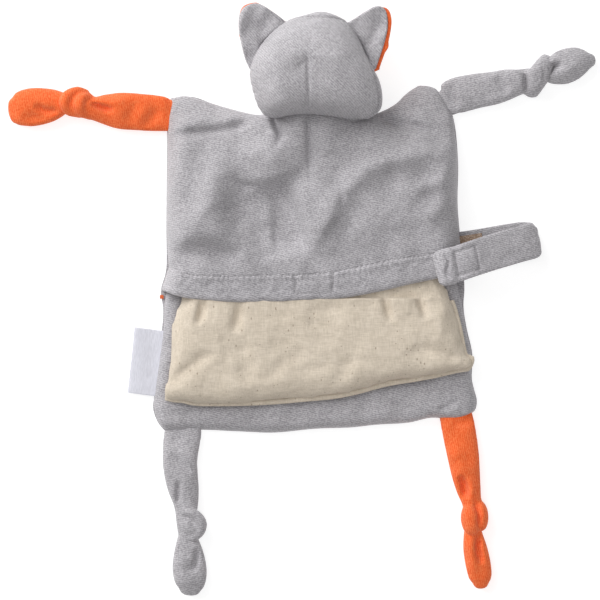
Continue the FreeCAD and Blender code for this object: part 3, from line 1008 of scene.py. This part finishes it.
def cushion_piece():
    """The cushion: a block, blown up with the cloth solver, then creased and kept clear."""
    obj = cushion_block()
    inflate(obj, 4.0, 20, 2.5)
    fine = obj.modifiers.new("fine", "SUBSURF")
    fine.levels = fine.render_levels = 2
    apply_modifiers(obj)
    obj.data.materials.clear()
    obj.data.materials.append(CALICO)
    press(obj, cushion_folds)
    # the part below the flap stays below it, and the underside stays off the panel under it
    co = vertices(obj)
    x, y = co[:, 0], co[:, 1]
    limit = np.minimum(flap_base(x, y) + flap_line(x, y) - 5, 26.4)
    limit = np.where(y > 2, np.maximum(limit, 15.9), 30)
    co[:, 2] = np.clip(np.minimum(co[:, 2], limit), 15.3, None)
    set_vertices(obj, co)
    cushion_seam()
    smooth_shading(obj)
    piece(obj, "cushion", ["cushion_cover", "cushion_filling"])


cushion_piece()


# ---------------------------------------------------------------- head

HEAD_OUTLINE = [(-11, 223), (2, 228), (16, 231.3), (28, 228.6), (38, 222), (46, 210), (51.5, 198),
                (57.5, 187), (63, 176), (65.5, 164), (64, 153), (56, 146.6), (46, 145.4), (34, 146.6),
                (20, 148.4), (6, 149.6), (-8, 148.6), (-20, 146.6), (-28, 149), (-33.5, 157),
                (-37.5, 170), (-39.5, 182), (-37, 193), (-31, 204), (-22, 214.5)]
HEAD_CENTRE = np.array([12.5, 189.0, 34.0])
HEAD_UP, HEAD_DOWN = 32.0, 33.6
CROWN = (5.6, 194)


def bend(distance, width):
    """0 before a line and distance beyond it, turning smoothly over width."""
    return np.logaddexp(0, distance / width) * width


def head_reach(theta):
    """Distance from the head's centre to its outline in plan, at these angles."""
    outline = closed_spline(HEAD_OUTLINE, 720) - HEAD_CENTRE[:2]
    angle = np.arctan2(outline[:, 1], outline[:, 0])
    order = np.argsort(angle)
    reach = np.hypot(outline[:, 0], outline[:, 1])
    return np.interp(theta, angle[order], reach[order], period=math.tau)


def head_dents(x, y):
    """Gathers round the crown, the dart below them and the fullness beside it."""
    cx, cy = CROWN
    dent = bump(x, y, CROWN, (9, 8), -2.2) + bump(x, y, CROWN, (2.6, 2.6), -1.0)
    turn = np.arctan2(y - cy, x - cx)
    out = np.hypot(x - cx, y - cy)
    dent = dent + 0.22 * np.sin(turn * 7 + 1.0) * np.exp(-((out - 10) / 7) ** 2)
    dent = dent + crease(x, y, [(-24, 190), (5.6, 196), (40, 192)], 1.6, 7, 0.3)
    dart = [CROWN, (6.4, 182), (6.8, 168), (6.6, 156), (6.4, 142)]
    dent = dent + crease(x, y, dart, -1.8, 1.3, 0.06) + crease(x, y, dart, -1.8, 9, 0.15)
    dent = dent + bump(x, y, (-16, 168), (15, 18), 1.2) + bump(x, y, (32, 168), (20, 20), 1.2)
    return dent + ripple(x, y, 30, 61) * 0.35 + ripple(x, y, 12, 62) * 0.12


def head_pieces():
    """A stuffed ball under the head's outline, cut in two at its seam."""
    n, faces = icosphere(7)
    faces = np.array(faces)
    theta = np.arctan2(n[:, 1], n[:, 0])
    radius = head_reach(theta)
    # the seam's height round the head, and how far each point is above it
    seam = 0.02 + 0.42 * np.exp(-(((theta - 1.45) / 0.5) ** 2))
    seam = seam + 0.34 * np.exp(-(((theta + 0.35) / 0.5) ** 2))
    off = n[:, 2] - seam
    level = np.sqrt(np.clip(1 - n[:, 2] ** 2, 0, 1))
    rise = np.sign(n[:, 2]) * np.sqrt(1 - level ** 4.5)
    co = np.empty_like(n)
    co[:, 0] = HEAD_CENTRE[0] + radius * n[:, 0]
    co[:, 1] = HEAD_CENTRE[1] + radius * n[:, 1]
    co[:, 2] = HEAD_CENTRE[2] + np.where(n[:, 2] > 0, HEAD_UP, HEAD_DOWN) * rise
    # flat falls from the highest part to the crown, the neck and each side
    fall = bend(co[:, 1] - 199, 5) * 0.38 + bend(186 - co[:, 1], 6) * 0.12
    fall = fall + bend(-21 - co[:, 0], 3) * 0.32 + bend(co[:, 0] - 12, 8) * 0.06
    fall = fall + bend(154 - co[:, 1], 1.5) * 0.7
    co[:, 2] -= fall * np.clip(n[:, 2] * 2, 0, 1)
    co[:, 2] += head_dents(co[:, 0], co[:, 1]) * np.clip(n[:, 2] * 3, 0, 1)
    # the seam pulls the cloth in, in small puckers
    seam_radius, mean_radius, pucker_count = 42, 48, 52
    from_seam = off * seam_radius
    groove = np.exp(-((from_seam / 1.7) ** 2)) * 3.2 - np.exp(-((from_seam / 5.0) ** 2)) * 0.9
    pucker = 1 + 0.3 * np.sin(theta * pucker_count)
    shrink = 1 - groove * pucker / mean_radius
    co = HEAD_CENTRE + (co - HEAD_CENTRE) * shrink[:, None]
    # the whole head sits nearly 2 mm nearer the body than its outline was drawn
    co[:, 1] *= 0.991
    co[:, 2] = np.maximum(co[:, 2], 0.3)
    above = off[faces].mean(1) > 0
    for name, keep, extra in (("head_back", above, ["head_filling"]), ("head_face", ~above, [])):
        used, index = np.unique(faces[keep], return_inverse=True)
        obj = make_mesh(name, co[used], index.reshape(-1, 3).tolist(), GREY_HEAD)
        piece(obj, "head", [name] + extra)


head_pieces()


# ---------------------------------------------------------------- ears

# outer and base are the edge curves; rim says where along the ear its lining shows, and over how
# much of it; inner_end is the end beside the crown, where the lining tucks in
EARS = {
    "ear_left": {
        "outer": [(-38.5, 181), (-43.4, 191), (-46.8, 204), (-48.8, 217), (-48, 227), (-44, 232.8),
                  (-37, 235.8), (-30, 234.4), (-20, 228), (-9, 219.6)],
        "base": [(-35, 180), (-30, 188), (-23, 200), (-6, 214)],
        "lining_shift": (-0.35, 0.35),
        "inner_end": 1,
        "rim": (0.6, 0.16),
    },
    "ear_right": {
        "outer": [(36, 219.6), (43, 223.6), (52, 229.4), (60, 233.4), (66, 232.2), (69, 226.6),
                  (69.6, 216), (67, 204), (60.4, 184)],
        "base": [(33, 213), (40, 204), (47, 193), (56, 180)],
        "lining_shift": (2.6, -0.9),
        "inner_end": 0,
        "rim": (0.5, 2.0),
    },
}


def ear_pieces(ear, facts):
    """One ear: a back and a lining that shows beyond it at the rim."""
    rows, cols = 46, 96
    root_z, lift, crown, ply = 27.0, 8.0, 2.5, 2.0
    outer = spline(facts["outer"], cols)
    base = spline(facts["base"], cols)
    v = np.linspace(0, 1, rows)[:, None, None]
    plan = base[None] * (1 - v) + outer[None] * v
    x, y = plan[..., 0], plan[..., 1]
    v = v[..., 0]
    u = np.linspace(0, 1, cols)[None, :]
    arch = np.sin(math.pi * u) ** 0.6
    edge = rounded(np.minimum(np.minimum(u, 1 - u) * 60, (1 - v) * 40), 4.0)
    # v runs from the sewn root to the rim: a quick rise off the head, then a gentle crown
    z = root_z + lift / (1 + np.exp((0.19 - v) / 0.03)) + crown * arch * v
    z = z - 3.4 * np.exp(-(((u - 0.55) / 0.12) ** 2) - ((v - 0.5) / 0.3) ** 2)
    z = z + 1.6 * np.exp(-(((u - 0.3) / 0.1) ** 2)) * v + ripple(x, y, 13, len(ear)) * 0.7 * edge
    back = slab(ear + "_back", np.dstack([x, y, z - ply * (1 - edge)]), ply, GREY_HEAD, rim=5)
    dx, dy = facts["lining_shift"]
    tuck = 3.0 * v * np.clip(1 - np.abs(u - facts["inner_end"]) / 0.22, 0, 1)
    middle, spread = facts["rim"]
    shows = np.exp(-(((u - middle) / spread) ** 2))
    inward = plan + (base[None] - plan) * (0.035 * (1 - shows) * v)[..., None]
    under = np.dstack([inward[..., 0] + dx * v * shows, inward[..., 1] + dy * v * shows - tuck,
                       z - 2.4 - 0.9 * (1 - edge)])
    lining = slab(ear + "_lining", under, ply, ORANGE_VELOUR, rim=5)
    piece(back, ear, [ear + "_back"])
    piece(lining, ear, [ear + "_lining"])


for ear, ear_facts in EARS.items():
    ear_pieces(ear, ear_facts)


# ---------------------------------------------------------------- arms and legs

# tube and end_tube hold rows for stations(); the knot's lumps, the folds pressed into each piece,
# and two points on the limb's line at its root and at its knot
LIMBS = {
    "arm_left": {
        "end": "hand_left",
        "material": ORANGE_VELOUR,
        "slot": "orange_velour",
        "seed": 71,
        "end_power": 2.5,
        "root_bend": [(-104, 147, 5), (-116, 147, 5)],
        "knot_bend": [(-188, 156, 6), (-203, 156, 6)],
        "tube": [
            (-99, 159.5, -101, 136, 2.5, 7.5), (-105, 161, -107, 134.5, 1.2, 9),
            (-113, 163.4, -113, 134.6, 0.3, 11), (-128, 165, -130, 135.4, 0, 13),
            (-143, 165.8, -145, 136.6, 0, 14), (-155, 164.4, -156, 140, 0.2, 14),
            (-163, 162.4, -164, 143, 0.6, 15), (-171, 161, -172, 146, 1.5, 16),
            (-180, 160, -180, 150, 4, 15),
        ],
        "knot": [
            ellipsoid((-178, 157, 9), (9.5, 9.5, 8)),
            roll([(-171, 166, 7), (-178, 167, 11), (-185.6, 163, 14), (-187.8, 156.6, 14),
                  (-184.6, 151, 12.5), (-176, 148, 9)],
                 [(2.6, 3.4), (3.8, 4.6), (4.8, 5.6), (5.0, 5.8), (4.4, 5.4), (2.8, 4)]),
            roll([(-167.5, 162, 8), (-173.6, 161.6, 14), (-176.4, 156, 15.6), (-174, 149.8, 13.5),
                  (-167.6, 146.4, 8)],
                 [(2.6, 3.2), (4.2, 4.6), (4.8, 5.0), (4.6, 5.0), (2.8, 3.4)]),
        ],
        "folds": [
            (crease, [(-167, 157), (-158, 153.6), (-149, 151)], -5.6, 1.9, 0.3),
            (crease, [(-164, 160), (-152, 158), (-140, 158)], 1.6, 3.4, 0.3),
            (crease, [(-127, 137), (-119, 145), (-112, 154)], -2.6, 5.0, 0.3),
            (crease, [(-140, 141), (-133, 150), (-131, 159)], -1.6, 5.0, 0.3),
        ],
        "end_tube": [
            (-181, 160, -181, 151, 4, 14), (-188, 165, -187, 148, 2.5, 15),
            (-196, 168.4, -195, 143.8, 1, 14.5), (-204, 169.4, -203, 140.8, 0.3, 14),
            (-212, 169.6, -211, 139, 0, 13.5), (-220, 168.2, -219, 138.4, 0, 12.5),
            (-226.6, 164.6, -224, 138.8, 0.2, 11), (-230.4, 161, -227.8, 141, 0.9, 9.4),
        ],
        "end_folds": [
            (crease, [(-212, 155.6), (-203, 151), (-193, 150)], -3.6, 2.4, 0.3),
            (crease, [(-222, 147), (-208, 145), (-198, 147)], -1.6, 4.0, 0.3),
            (bump, (-216, 159), (10, 6), 1.2),
        ],
    },
    "arm_right": {
        "end": "hand_right",
        "material": GREY_LIMB,
        "slot": "grey_velour",
        "seed": 73,
        "end_power": 2.3,
        "root_bend": [(116.7, 158, 5), (127.1, 163.8, 5)],
        "knot_bend": [(202, 183.3, 6), (217, 184.6, 6)],
        "tube": [
            (108, 166, 118, 150, 2.5, 7.5), (113, 170.6, 122.6, 147.6, 1.2, 9.5),
            (121, 177.2, 127.6, 148.8, 0.3, 11.5), (136, 180.2, 145, 153.6, 0, 13.5),
            (151, 182, 159, 156.6, 0, 14.5), (164, 184.4, 169, 160.4, 0.2, 14.5),
            (172, 184.4, 175.4, 163.4, 0.6, 14), (180, 185, 183, 167, 1.4, 14),
            (190, 186, 191, 171, 3, 14),
        ],
        "knot": [
            roll([(184.6, 166, 5), (186, 170, 10.5), (189.6, 178, 13.6), (194.2, 186, 12),
                  (197.4, 191.4, 7)],
                 [(6.6, 4.4), (8.2, 5.4), (9.4, 6), (8.4, 5.4), (6.4, 4.4)], sides=26),
            roll([(165, 181.6, 9), (171.6, 180.8, 12.4), (176.4, 176, 12.8), (176.6, 169, 10),
                  (172, 164.4, 7)],
                 [(2.4, 3.0), (3.8, 4.4), (4.2, 4.8), (3.8, 4.4), (2.6, 3.2)]),
        ],
        "folds": [
            (crease, [(180, 181), (180.4, 174), (179.6, 166)], -4.8, 1.8, 0.3),
            (crease, [(119, 172), (122.6, 163), (127, 154)], -2.4, 3.6, 0.3),
            (crease, [(156, 179), (163, 171), (167, 165)], -2.6, 4.2, 0.3),
            (crease, [(140, 174), (148, 168), (152, 160)], -1.4, 5.0, 0.3),
            (crease, [(187, 189), (190, 181), (189, 172)], -0.8, 1.2, 0.3),
            (crease, [(192, 190), (195, 181), (193, 172)], -0.8, 1.2, 0.3),
        ],
        "end_tube": [
            (194, 189, 195, 175, 4, 13), (200, 193.6, 202.4, 172, 2, 14.4),
            (206, 198.4, 209.6, 171.6, 0.8, 14.6), (212, 201.2, 217, 174, 0.2, 14.4),
            (219, 202.2, 223.4, 177.4, 0, 13.4), (226, 200.4, 228.6, 181.4, 0.1, 12),
            (231.6, 197, 232.4, 186, 0.8, 10),
        ],
        "end_folds": [
            (crease, [(198.4, 181), (202.4, 186.6), (210, 188.6)], -5.2, 2.2, 0.3),
            (bump, (203, 186.4), (3.4, 2.8), -2.4),
            (crease, [(205, 177), (214, 183), (226, 192)], 1.4, 4.0, 0.3),
        ],
    },
    "leg_left": {
        "end": "foot_left",
        "material": GREY_LIMB,
        "slot": "grey_velour",
        "seed": 75,
        "end_power": 2.4,
        "root_bend": [(-94, -105, 5), (-94, -117, 5)],
        "knot_bend": [(-90, -195, 6), (-90, -210, 6)],
        "tube": [
            (-107, -98, -80, -98, 2.5, 7.5), (-108.2, -104.5, -78.4, -104, 1.2, 9.5),
            (-109.4, -113, -79.6, -112, 0.3, 11.5), (-109.8, -127, -81.8, -126, 0, 13.5),
            (-108.6, -139, -81.6, -138, 0, 14.0), (-105.6, -151, -80.6, -150, 0.2, 14.2),
            (-102, -160, -80.8, -160, 0.6, 14.2), (-99.8, -169, -82, -168, 1.0, 15),
            (-98.6, -179, -83, -179, 1.6, 15), (-97, -189, -84, -189, 3, 14),
        ],
        "knot": [
            ellipsoid((-86.4, -178.4, 9.6), (9.4, 10.6, 8.4)),
            roll([(-96, -168, 8), (-90, -168.6, 13), (-83, -171.6, 14.4), (-79.2, -177.6, 13.6),
                  (-80, -184.6, 12), (-86, -190, 10.5), (-93, -191, 8)],
                 [(2.8, 3.6), (3.8, 4.8), (4.6, 5.4), (5.0, 5.6), (4.6, 5.4), (3.8, 4.8),
                  (2.8, 4.0)]),
        ],
        "folds": [
            (crease, [(-97, -144), (-97.6, -153), (-97.4, -163)], -4.8, 1.8, 0.3),
            (crease, [(-103, -150), (-102, -157), (-99, -165)], 1.4, 2.4, 0.3),
            (crease, [(-104, -123), (-95, -130), (-86, -139)], -2.4, 3.4, 0.3),
            (bump, (-98, -112), (5, 6), -2.8),
            (crease, [(-94, -172), (-87, -175), (-84, -182)], -2.2, 1.8, 0.3),
        ],
        "end_tube": [
            (-97, -186, -83, -187, 4, 13), (-99.2, -194, -80, -194, 1.6, 14.4),
            (-101, -203, -76.8, -203, 0.6, 14.4), (-102, -212, -74.8, -212, 0.2, 14),
            (-101.2, -221, -74.4, -220, 0, 13.4), (-99.2, -228.4, -76.2, -227, 0.1, 12),
            (-96.4, -232.8, -79.8, -231, 0.8, 10),
        ],
        "end_folds": [
            (crease, [(-82.6, -198), (-82.4, -207), (-86, -217)], -4.4, 2.2, 0.3),
            (bump, (-88, -214), (5, 3.6), -1.8),
            (crease, [(-94, -199), (-94, -210), (-92, -222)], 1.2, 3.4, 0.3),
        ],
    },
    "leg_right": {
        "end": "foot_right",
        "material": ORANGE_VELOUR,
        "slot": "orange_velour",
        "seed": 77,
        "end_power": 2.4,
        "root_bend": [(124.2, -93.7, 5), (126.2, -105.5, 5)],
        "knot_bend": [(138.9, -186, 6), (137.1, -201, 6)],
        "tube": [
            (112.4, -88, 136, -84.4, 2.5, 7.5), (111.6, -95, 138, -91, 1.2, 9.5),
            (113.6, -106, 140.6, -104, 0.3, 11.5), (117.2, -123, 143, -122, 0, 13.5),
            (121, -139, 144, -139, 0, 14.0), (125, -152, 144.6, -151, 0.2, 14.3),
            (129, -161, 145, -160, 0.8, 15), (131, -169, 146, -168, 2, 14),
            (133, -176, 143, -176, 4, 13),
        ],
        "knot": [
            ellipsoid((136.2, -175.6, 11.4), (7.8, 13.6, 8.8), 8),
            ellipsoid((144.4, -172.4, 8.8), (6.2, 12.4, 8.2), 4),
        ],
        "folds": [
            (crease, [(127.6, -140), (131, -148), (132.4, -159)], -6.4, 2.6, 0.3),
            (crease, [(134, -142), (137, -150), (136.6, -160)], 1.8, 2.8, 0.3),
            (crease, [(139.4, -160), (143, -170), (142.4, -184)], -3.4, 1.6, 0.3),
            (crease, [(120, -100), (130, -98), (138, -96)], -1.6, 3.4, 0.3),
            (crease, [(122, -120), (128, -128), (130, -138)], 1.2, 5, 0.3),
        ],
        "end_tube": [
            (131.6, -180, 144, -180, 4, 13), (130.6, -188, 146, -187, 2, 14.4),
            (130.2, -197, 149, -196, 0.8, 14.4), (131.2, -206, 151.4, -205, 0.2, 14),
            (133, -215, 153, -214, 0, 13.4), (135.2, -223, 153.2, -221, 0.1, 12),
            (138.4, -227.4, 150.6, -225.6, 0.8, 10),
        ],
        "end_folds": [
            (crease, [(142.4, -186), (142.2, -199), (144.8, -211)], -6.0, 2.3, 0.3),
            (crease, [(136.4, -190), (136.8, -204), (140.6, -218)], 1.6, 3.0, 0.3),
        ],
    },
}


def limb_piece(name, lumps, material, folds, seed, uneven):
    """One stuffed piece with its folds and a slight unevenness (size and height in mm)."""
    obj = moulded(name, lumps, material)
    size, height = uneven
    press(obj, lambda x, y: folds_on(x, y, folds) + ripple(x, y, size, seed) * height)
    return obj


def limb_pieces(limb, facts):
    """An arm or a leg as far as its knot, and the hand or foot beyond it."""
    end, material, seed = facts["end"], facts["material"], facts["seed"]
    tube_lump = tube(*stations(facts["tube"]), sides=36, power=2.3)
    upper = limb_piece(limb, [tube_lump] + facts["knot"], material, facts["folds"], seed, (20, 0.5))
    end_lump = tube(*stations(facts["end_tube"]), sides=36, power=facts["end_power"])
    outer = limb_piece(end, [end_lump], material, facts["end_folds"], seed + 1, (18, 0.45))
    root = [at(*point) for point in facts["root_bend"]]
    knot = [at(*point) for point in facts["knot_bend"]]
    piece(upper, ("body", limb, *root), [limb + "_tube", limb + "_knot"])
    piece(outer, (limb, end, *knot), [limb + "_" + end.split("_")[0]])


for limb, limb_facts in LIMBS.items():
    limb_pieces(limb, limb_facts)


# ---------------------------------------------------------------- strap, label, small trim

def strip(name, line, across, width, thick, material, puff=0.0, rim=5, seed=1, shape=None,
          wavy=0.35):
    """A flat band of cloth along a 3-D line. across is its sideways direction, and shape adds
    height from the distance left to its far end and the place across it."""
    line = np.asarray(line, float)
    side = np.broadcast_to(np.asarray(across, float), line.shape)
    along = np.gradient(line, axis=0)
    along /= np.linalg.norm(along, axis=1, keepdims=True)
    side = side - along * (side * along).sum(1, keepdims=True)
    side /= np.linalg.norm(side, axis=1, keepdims=True)
    up = np.cross(along, side)
    if shape is not None and up[:, 2].mean() < 0:
        up = -up
    cols = 34
    s = np.sin(np.linspace(-0.5, 0.5, cols) * math.pi) * 0.5
    width = np.broadcast_to(np.asarray(width, float), (len(line),))
    flat = line[:, None] + side[:, None] * (s[None, :, None] * width[:, None, None])
    edge = rounded((1 - np.abs(2 * s)) * width.mean() / 2, thick * 0.8)
    crown = (thick / 2 + puff * (1 - (2 * s) ** 2)) * (0.25 + 0.75 * edge)
    wave = ripple(flat[..., 0], flat[..., 1], 16, seed) * wavy
    left = np.concatenate([[0], np.cumsum(np.linalg.norm(np.diff(line, axis=0), axis=1))])
    left = left[-1] - left
    extra = 0.0 if shape is None else shape(left[:, None], s[None, :] * width[:, None])
    top = flat + up[:, None] * (crown[None, :, None] + (wave + extra)[..., None])
    low = flat - up[:, None] * (crown[None, :, None] - wave[..., None])
    return slab(name, top, thick, material, rim=rim, under=low), top


# the strap's sewn square: from and to, measured from the strap's end, and half its width; how far
# it is sewn askew; and how many degrees each layer runs off the x axis
BOX_FROM, BOX_TO, BOX_HALF = 15.5, 33.0, 9.2
SEWN_SLANT = 0.12
STRAP_ALONG_BACK, STRAP_ALONG_FRONT = 9, 17


def strap_end(left, across):
    """Turned-in end of the strap and the stitched square beside it."""
    # lip, slit and square are all sewn a little askew to the strap
    a = left - across * SEWN_SLANT
    lip = np.exp(-(((a - 7.5) / 6.0) ** 4)) * 2.2 * rounded(14.5 - np.abs(across), 5)
    slit = np.exp(-(((a - 8.0 - 1.5 * np.sin(across / 2.6)) / 1.3) ** 2)) * -2.6
    slit = slit * np.exp(-((across / 9.5) ** 6))
    box = 0.0
    inside = np.abs(across) < BOX_HALF + 0.8
    for place in (BOX_FROM, BOX_TO):
        box = box + np.exp(-(((a - place) / 1.1) ** 2)) * -1.3 * inside
    within = (a > BOX_FROM - 0.8) & (a < BOX_TO + 0.8)
    for place in (-BOX_HALF, BOX_HALF):
        box = box + np.exp(-(((across - place) / 1.0) ** 2)) * -1.1 * within
    pad = 0.5 * np.exp(-(((a - (BOX_FROM + BOX_TO) / 2) / 7) ** 4) - (across / 7) ** 4)
    return lip + slit + np.maximum(box, -1.5) + pad


def heading(degrees):
    """Sideways direction of a band that runs this far off the x axis."""
    a = math.radians(degrees)
    return np.array([-math.sin(a), math.cos(a), 0])


def strap_back_layer():
    """From the side seam along the surface, then up into the fold."""
    count = 60
    line = spline([(122, 39, 5.5), (130, 40.4, 4.2), (146, 42.8, 3.2), (166, 46.4, 3.2),
                   (180, 48.4, 3.6), (186.6, 48.6, 5.0), (189.2, 48.4, 8.8)], count)
    share = np.linspace(0, 1, count)[:, None] ** 3
    sides = heading(STRAP_ALONG_BACK) * (1 - share * 0.5) + heading(STRAP_ALONG_FRONT) * share * 0.5
    width = np.interp(np.linspace(0, 1, count), [0, 0.8, 0.93, 1], [28, 28, 25.4, 20])
    obj, _ = strip("strap_back_layer", line, sides, width, 2.6, GREY_STRAP, 0.5, seed=81)
    piece(obj, ("body", "strap_back", at(127, 39.6, 2), at(138, 41.4, 2)), ["strap_back_layer"])


def strap_front_layer():
    """From the fold back over the first layer and up on to the hem. Gives its middle line and
    its upper face."""
    count = 130
    line = spline([(189.2, 48.4, 8.8), (188.4, 48.0, 13), (184.6, 47.0, 16.6), (172, 43.6, 21.5),
                   (150, 37, 28), (134, 31.8, 33.4), (124, 28.4, 34.6), (109.5, 24.4, 34.2)], count)
    side = heading(STRAP_ALONG_FRONT)
    share = np.clip(np.linspace(0, 1, count)[:, None] * 4, 0, 1)
    sides = (heading(STRAP_ALONG_BACK) + side) / 2 * (1 - share) + side * share
    width = np.interp(np.linspace(0, 1, count), [0, 0.03, 0.07, 0.12, 0.94, 0.975, 1],
                      [20, 24.2, 26.8, 28, 27.6, 26.8, 24.5])
    obj, top = strip("strap_front_layer", line, sides, width, 3.0, GREY_STRAP, 0.7, seed=82,
                     shape=strap_end)
    piece(obj, ("strap_back", "strap_front", at(189.4, 48.5, 9.2), at(183, 46.6, 18)),
          ["strap_front_layer"])
    return line, top


def strap_box(line, top):
    """Stitches of the sewn square near the strap's end."""
    side = heading(STRAP_ALONG_FRONT)
    tip = line[-1]
    along = (line[-30] - tip) / np.linalg.norm(line[-30] - tip)
    corners = [tip + along * (u + v * SEWN_SLANT) + side * v for u, v in
               ((BOX_FROM, -BOX_HALF), (BOX_TO, -BOX_HALF), (BOX_TO, BOX_HALF),
                (BOX_FROM, BOX_HALF), (BOX_FROM, -BOX_HALF))]
    lines = [resting([p[:2], q[:2]], top, 0.1) for p, q in zip(corners[:-1], corners[1:])]
    sewing("strap_stitches", lines, GREY_THREAD, "strap_front", pitch=2.6)


def strap_tape(name, body, points, count, degrees, width, thick, seed):
    """A piece of hook-and-loop tape on one of the strap's inner faces."""
    obj, _ = strip(name, spline(points, count), heading(degrees), width, thick, TAPE, 0, seed=seed)
    piece(obj, body, [name])


strap_back_layer()
front_line, front_top = strap_front_layer()
strap_tape("strap_loop_patch", "strap_back", [(126, 40.2, 6.3), (136, 41.4, 5.8), (146.5, 43, 5.6)],
           30, STRAP_ALONG_BACK, 21, 0.9, 83)
strap_tape("strap_hook_patch", "strap_front", [(131, 31.2, 31.8), (124, 28.8, 32.4), (112, 25.2, 32.0)],
           20, STRAP_ALONG_FRONT, 20, 0.8, 84)
strap_box(front_line, front_top)


def label_piece():
    """A blank ribbon folded at its free end, both ends in the side seam."""
    line = spline([(-109.5, -51, 1.6), (-116, -50.4, 0.9), (-126, -49.0, 0.9), (-133, -48.2, 1.0),
                   (-134.8, -48.0, 2.2), (-133, -48.2, 3.4), (-127, -49.0, 3.9), (-118, -50.2, 3.7),
                   (-109.5, -51, 4.6)], 90)
    obj, _ = strip("label", line, (0.107, 0.994, 0), 52.4, 0.45, SATIN, rim=4, seed=85, wavy=0.12)
    piece(obj, "label", ["label"])


label_piece()


def patch(name, low, high):
    """A rectangle of hook-and-loop tape with rounded edges, between two corners."""
    x, y = np.meshgrid(np.linspace(low[0], high[0], 24), np.linspace(high[1], low[1], 16))
    grid = np.dstack([x, y, high[2] + ripple(x, y, 12, 91) * 0.08])
    piece(slab(name, grid, high[2] - low[2], TAPE, rim=4), "body", [name])


patch("loop_patch", (-3, 4, 13.0), (27, 20, 14.0))
patch("hook_patch", (-3, 4, 27.3), (27, 20, 28.3))


def tack_piece():
    """Five loops of thread side by side at the left end of the opening."""
    loops = []
    first, pitch = 1.2, 0.6
    for k in range(5):
        y = first + k * pitch
        loops.append(roll([(-111.8, y, 3.4), (-110.6, y + 0.2, 4.6), (-109.2, y, 5.0)],
                          [(0.32, 0.32), (0.4, 0.4), (0.32, 0.32)], sides=10))
    obj = moulded("bar_tack", loops, ORANGE_THREAD, voxel=0.22, smooth=1)
    piece(obj, "body", ["bar_tack"])


tack_piece()


def neck_piece():
    """The tube of cloth inside, from the body up into the head."""
    count = 34
    path = spline([(14, 126, 11), (14, 136, 13), (14, 146, 17), (14, 154, 20), (14, 164, 24)], count)
    half = spline([(30, 7), (32, 8), (34, 10), (32, 10), (28, 10)], count)
    verts, faces = tube(path, np.tile([1.0, 0, 0], (count, 1)), half, sides=60, power=2.2)
    obj = make_mesh("neck_tube", verts, faces, GREY_HEAD)
    recalculate(obj)
    piece(obj, ("body", "neck", at(14, 136, 16), at(14, 154, 16)), ["neck_tube"])


neck_piece()


# ---------------------------------------------------------------- stage, light and camera

def backdrop():
    """A white wall round the floor, seen by the camera only, so it sheds no light."""
    sides, radius = 64, 14000.0
    white = Shader("backdrop")
    white.set({"Base Color": (0, 0, 0, 1), "Emission Color": (1, 1, 1, 1), "Emission Strength": 0.85})
    turn = np.linspace(0, math.tau, sides, endpoint=False)
    ring = np.column_stack([np.cos(turn), np.sin(turn)]) * radius
    verts = [(x, y, z) for z in (-1.0, 9000.0) for x, y in ring]
    faces = [[i, (i + 1) % sides, sides + (i + 1) % sides, sides + i] for i in range(sides)]
    wall = make_mesh("backdrop", verts, faces, white.mat)
    wall.visible_diffuse = wall.visible_glossy = wall.visible_shadow = False


def floor():
    """A grey floor that glows, so that the ground looks white and shadows on it stay pale."""
    size, z = 14500.0, -0.2
    pale = Shader("floor")
    tone = pale.ramp(pale.noise(pale.at, 3, 2),
                     [(0.3, [0.39, 0.39, 0.39, 1]), (0.7, [0.41, 0.41, 0.41, 1])])
    pale.link(tone, pale.bsdf.inputs["Base Color"])
    pale.set({"Roughness": 0.9, "Specular IOR Level": 0.0, "Emission Color": (1, 1, 1, 1),
              "Emission Strength": 0.74})
    corners = [(-size, -size, z), (size, -size, z), (size, size, z), (-size, size, z)]
    make_mesh("floor", corners, [[0, 1, 2, 3]], pale.mat)


def lights():
    """Soft white surroundings, a wide key light up to the left, and three weak ones."""
    world = bpy.data.worlds.new("studio")
    bpy.context.scene.world = world
    world.use_nodes = True
    world.node_tree.nodes["Background"].inputs[0].default_value = (1, 1, 1, 1)
    world.node_tree.nodes["Background"].inputs[1].default_value = 0.2
    for name, place, power, size in (("key", (-2.4, 2.4, 2.0), 174.0, 3.4),
                                     ("top", (-0.4, 0.3, 3.6), 38.0, 3.0),
                                     ("fill", (2.0, -1.4, 2.6), 16.0, 3.0),
                                     ("low", (0.5, -2.5, 2.0), 10.0, 3.0)):
        light = bpy.data.lights.new(name, "AREA")
        light.energy = power
        light.size = size
        obj = bpy.data.objects.new(name, light)
        obj.location = place
        obj.rotation_euler = (-Vector(place)).to_track_quat("-Z", "Y").to_euler()
        bpy.context.scene.collection.objects.link(obj)


def camera():
    """A long lens straight above, its view half_view metres to each side at the ground."""
    half_view = 0.240
    cam = bpy.data.cameras.new("camera")
    cam.lens = 400
    cam.sensor_width = 36
    distance = half_view * 400 / 18
    cam.clip_start = 0.05
    cam.clip_end = 60
    obj = bpy.data.objects.new("camera", cam)
    obj.location = (0, 0, distance)
    bpy.context.scene.collection.objects.link(obj)
    bpy.context.scene.camera = obj


floor()
lights()
backdrop()
camera()
bpy.context.scene.view_settings.view_transform = "Standard"
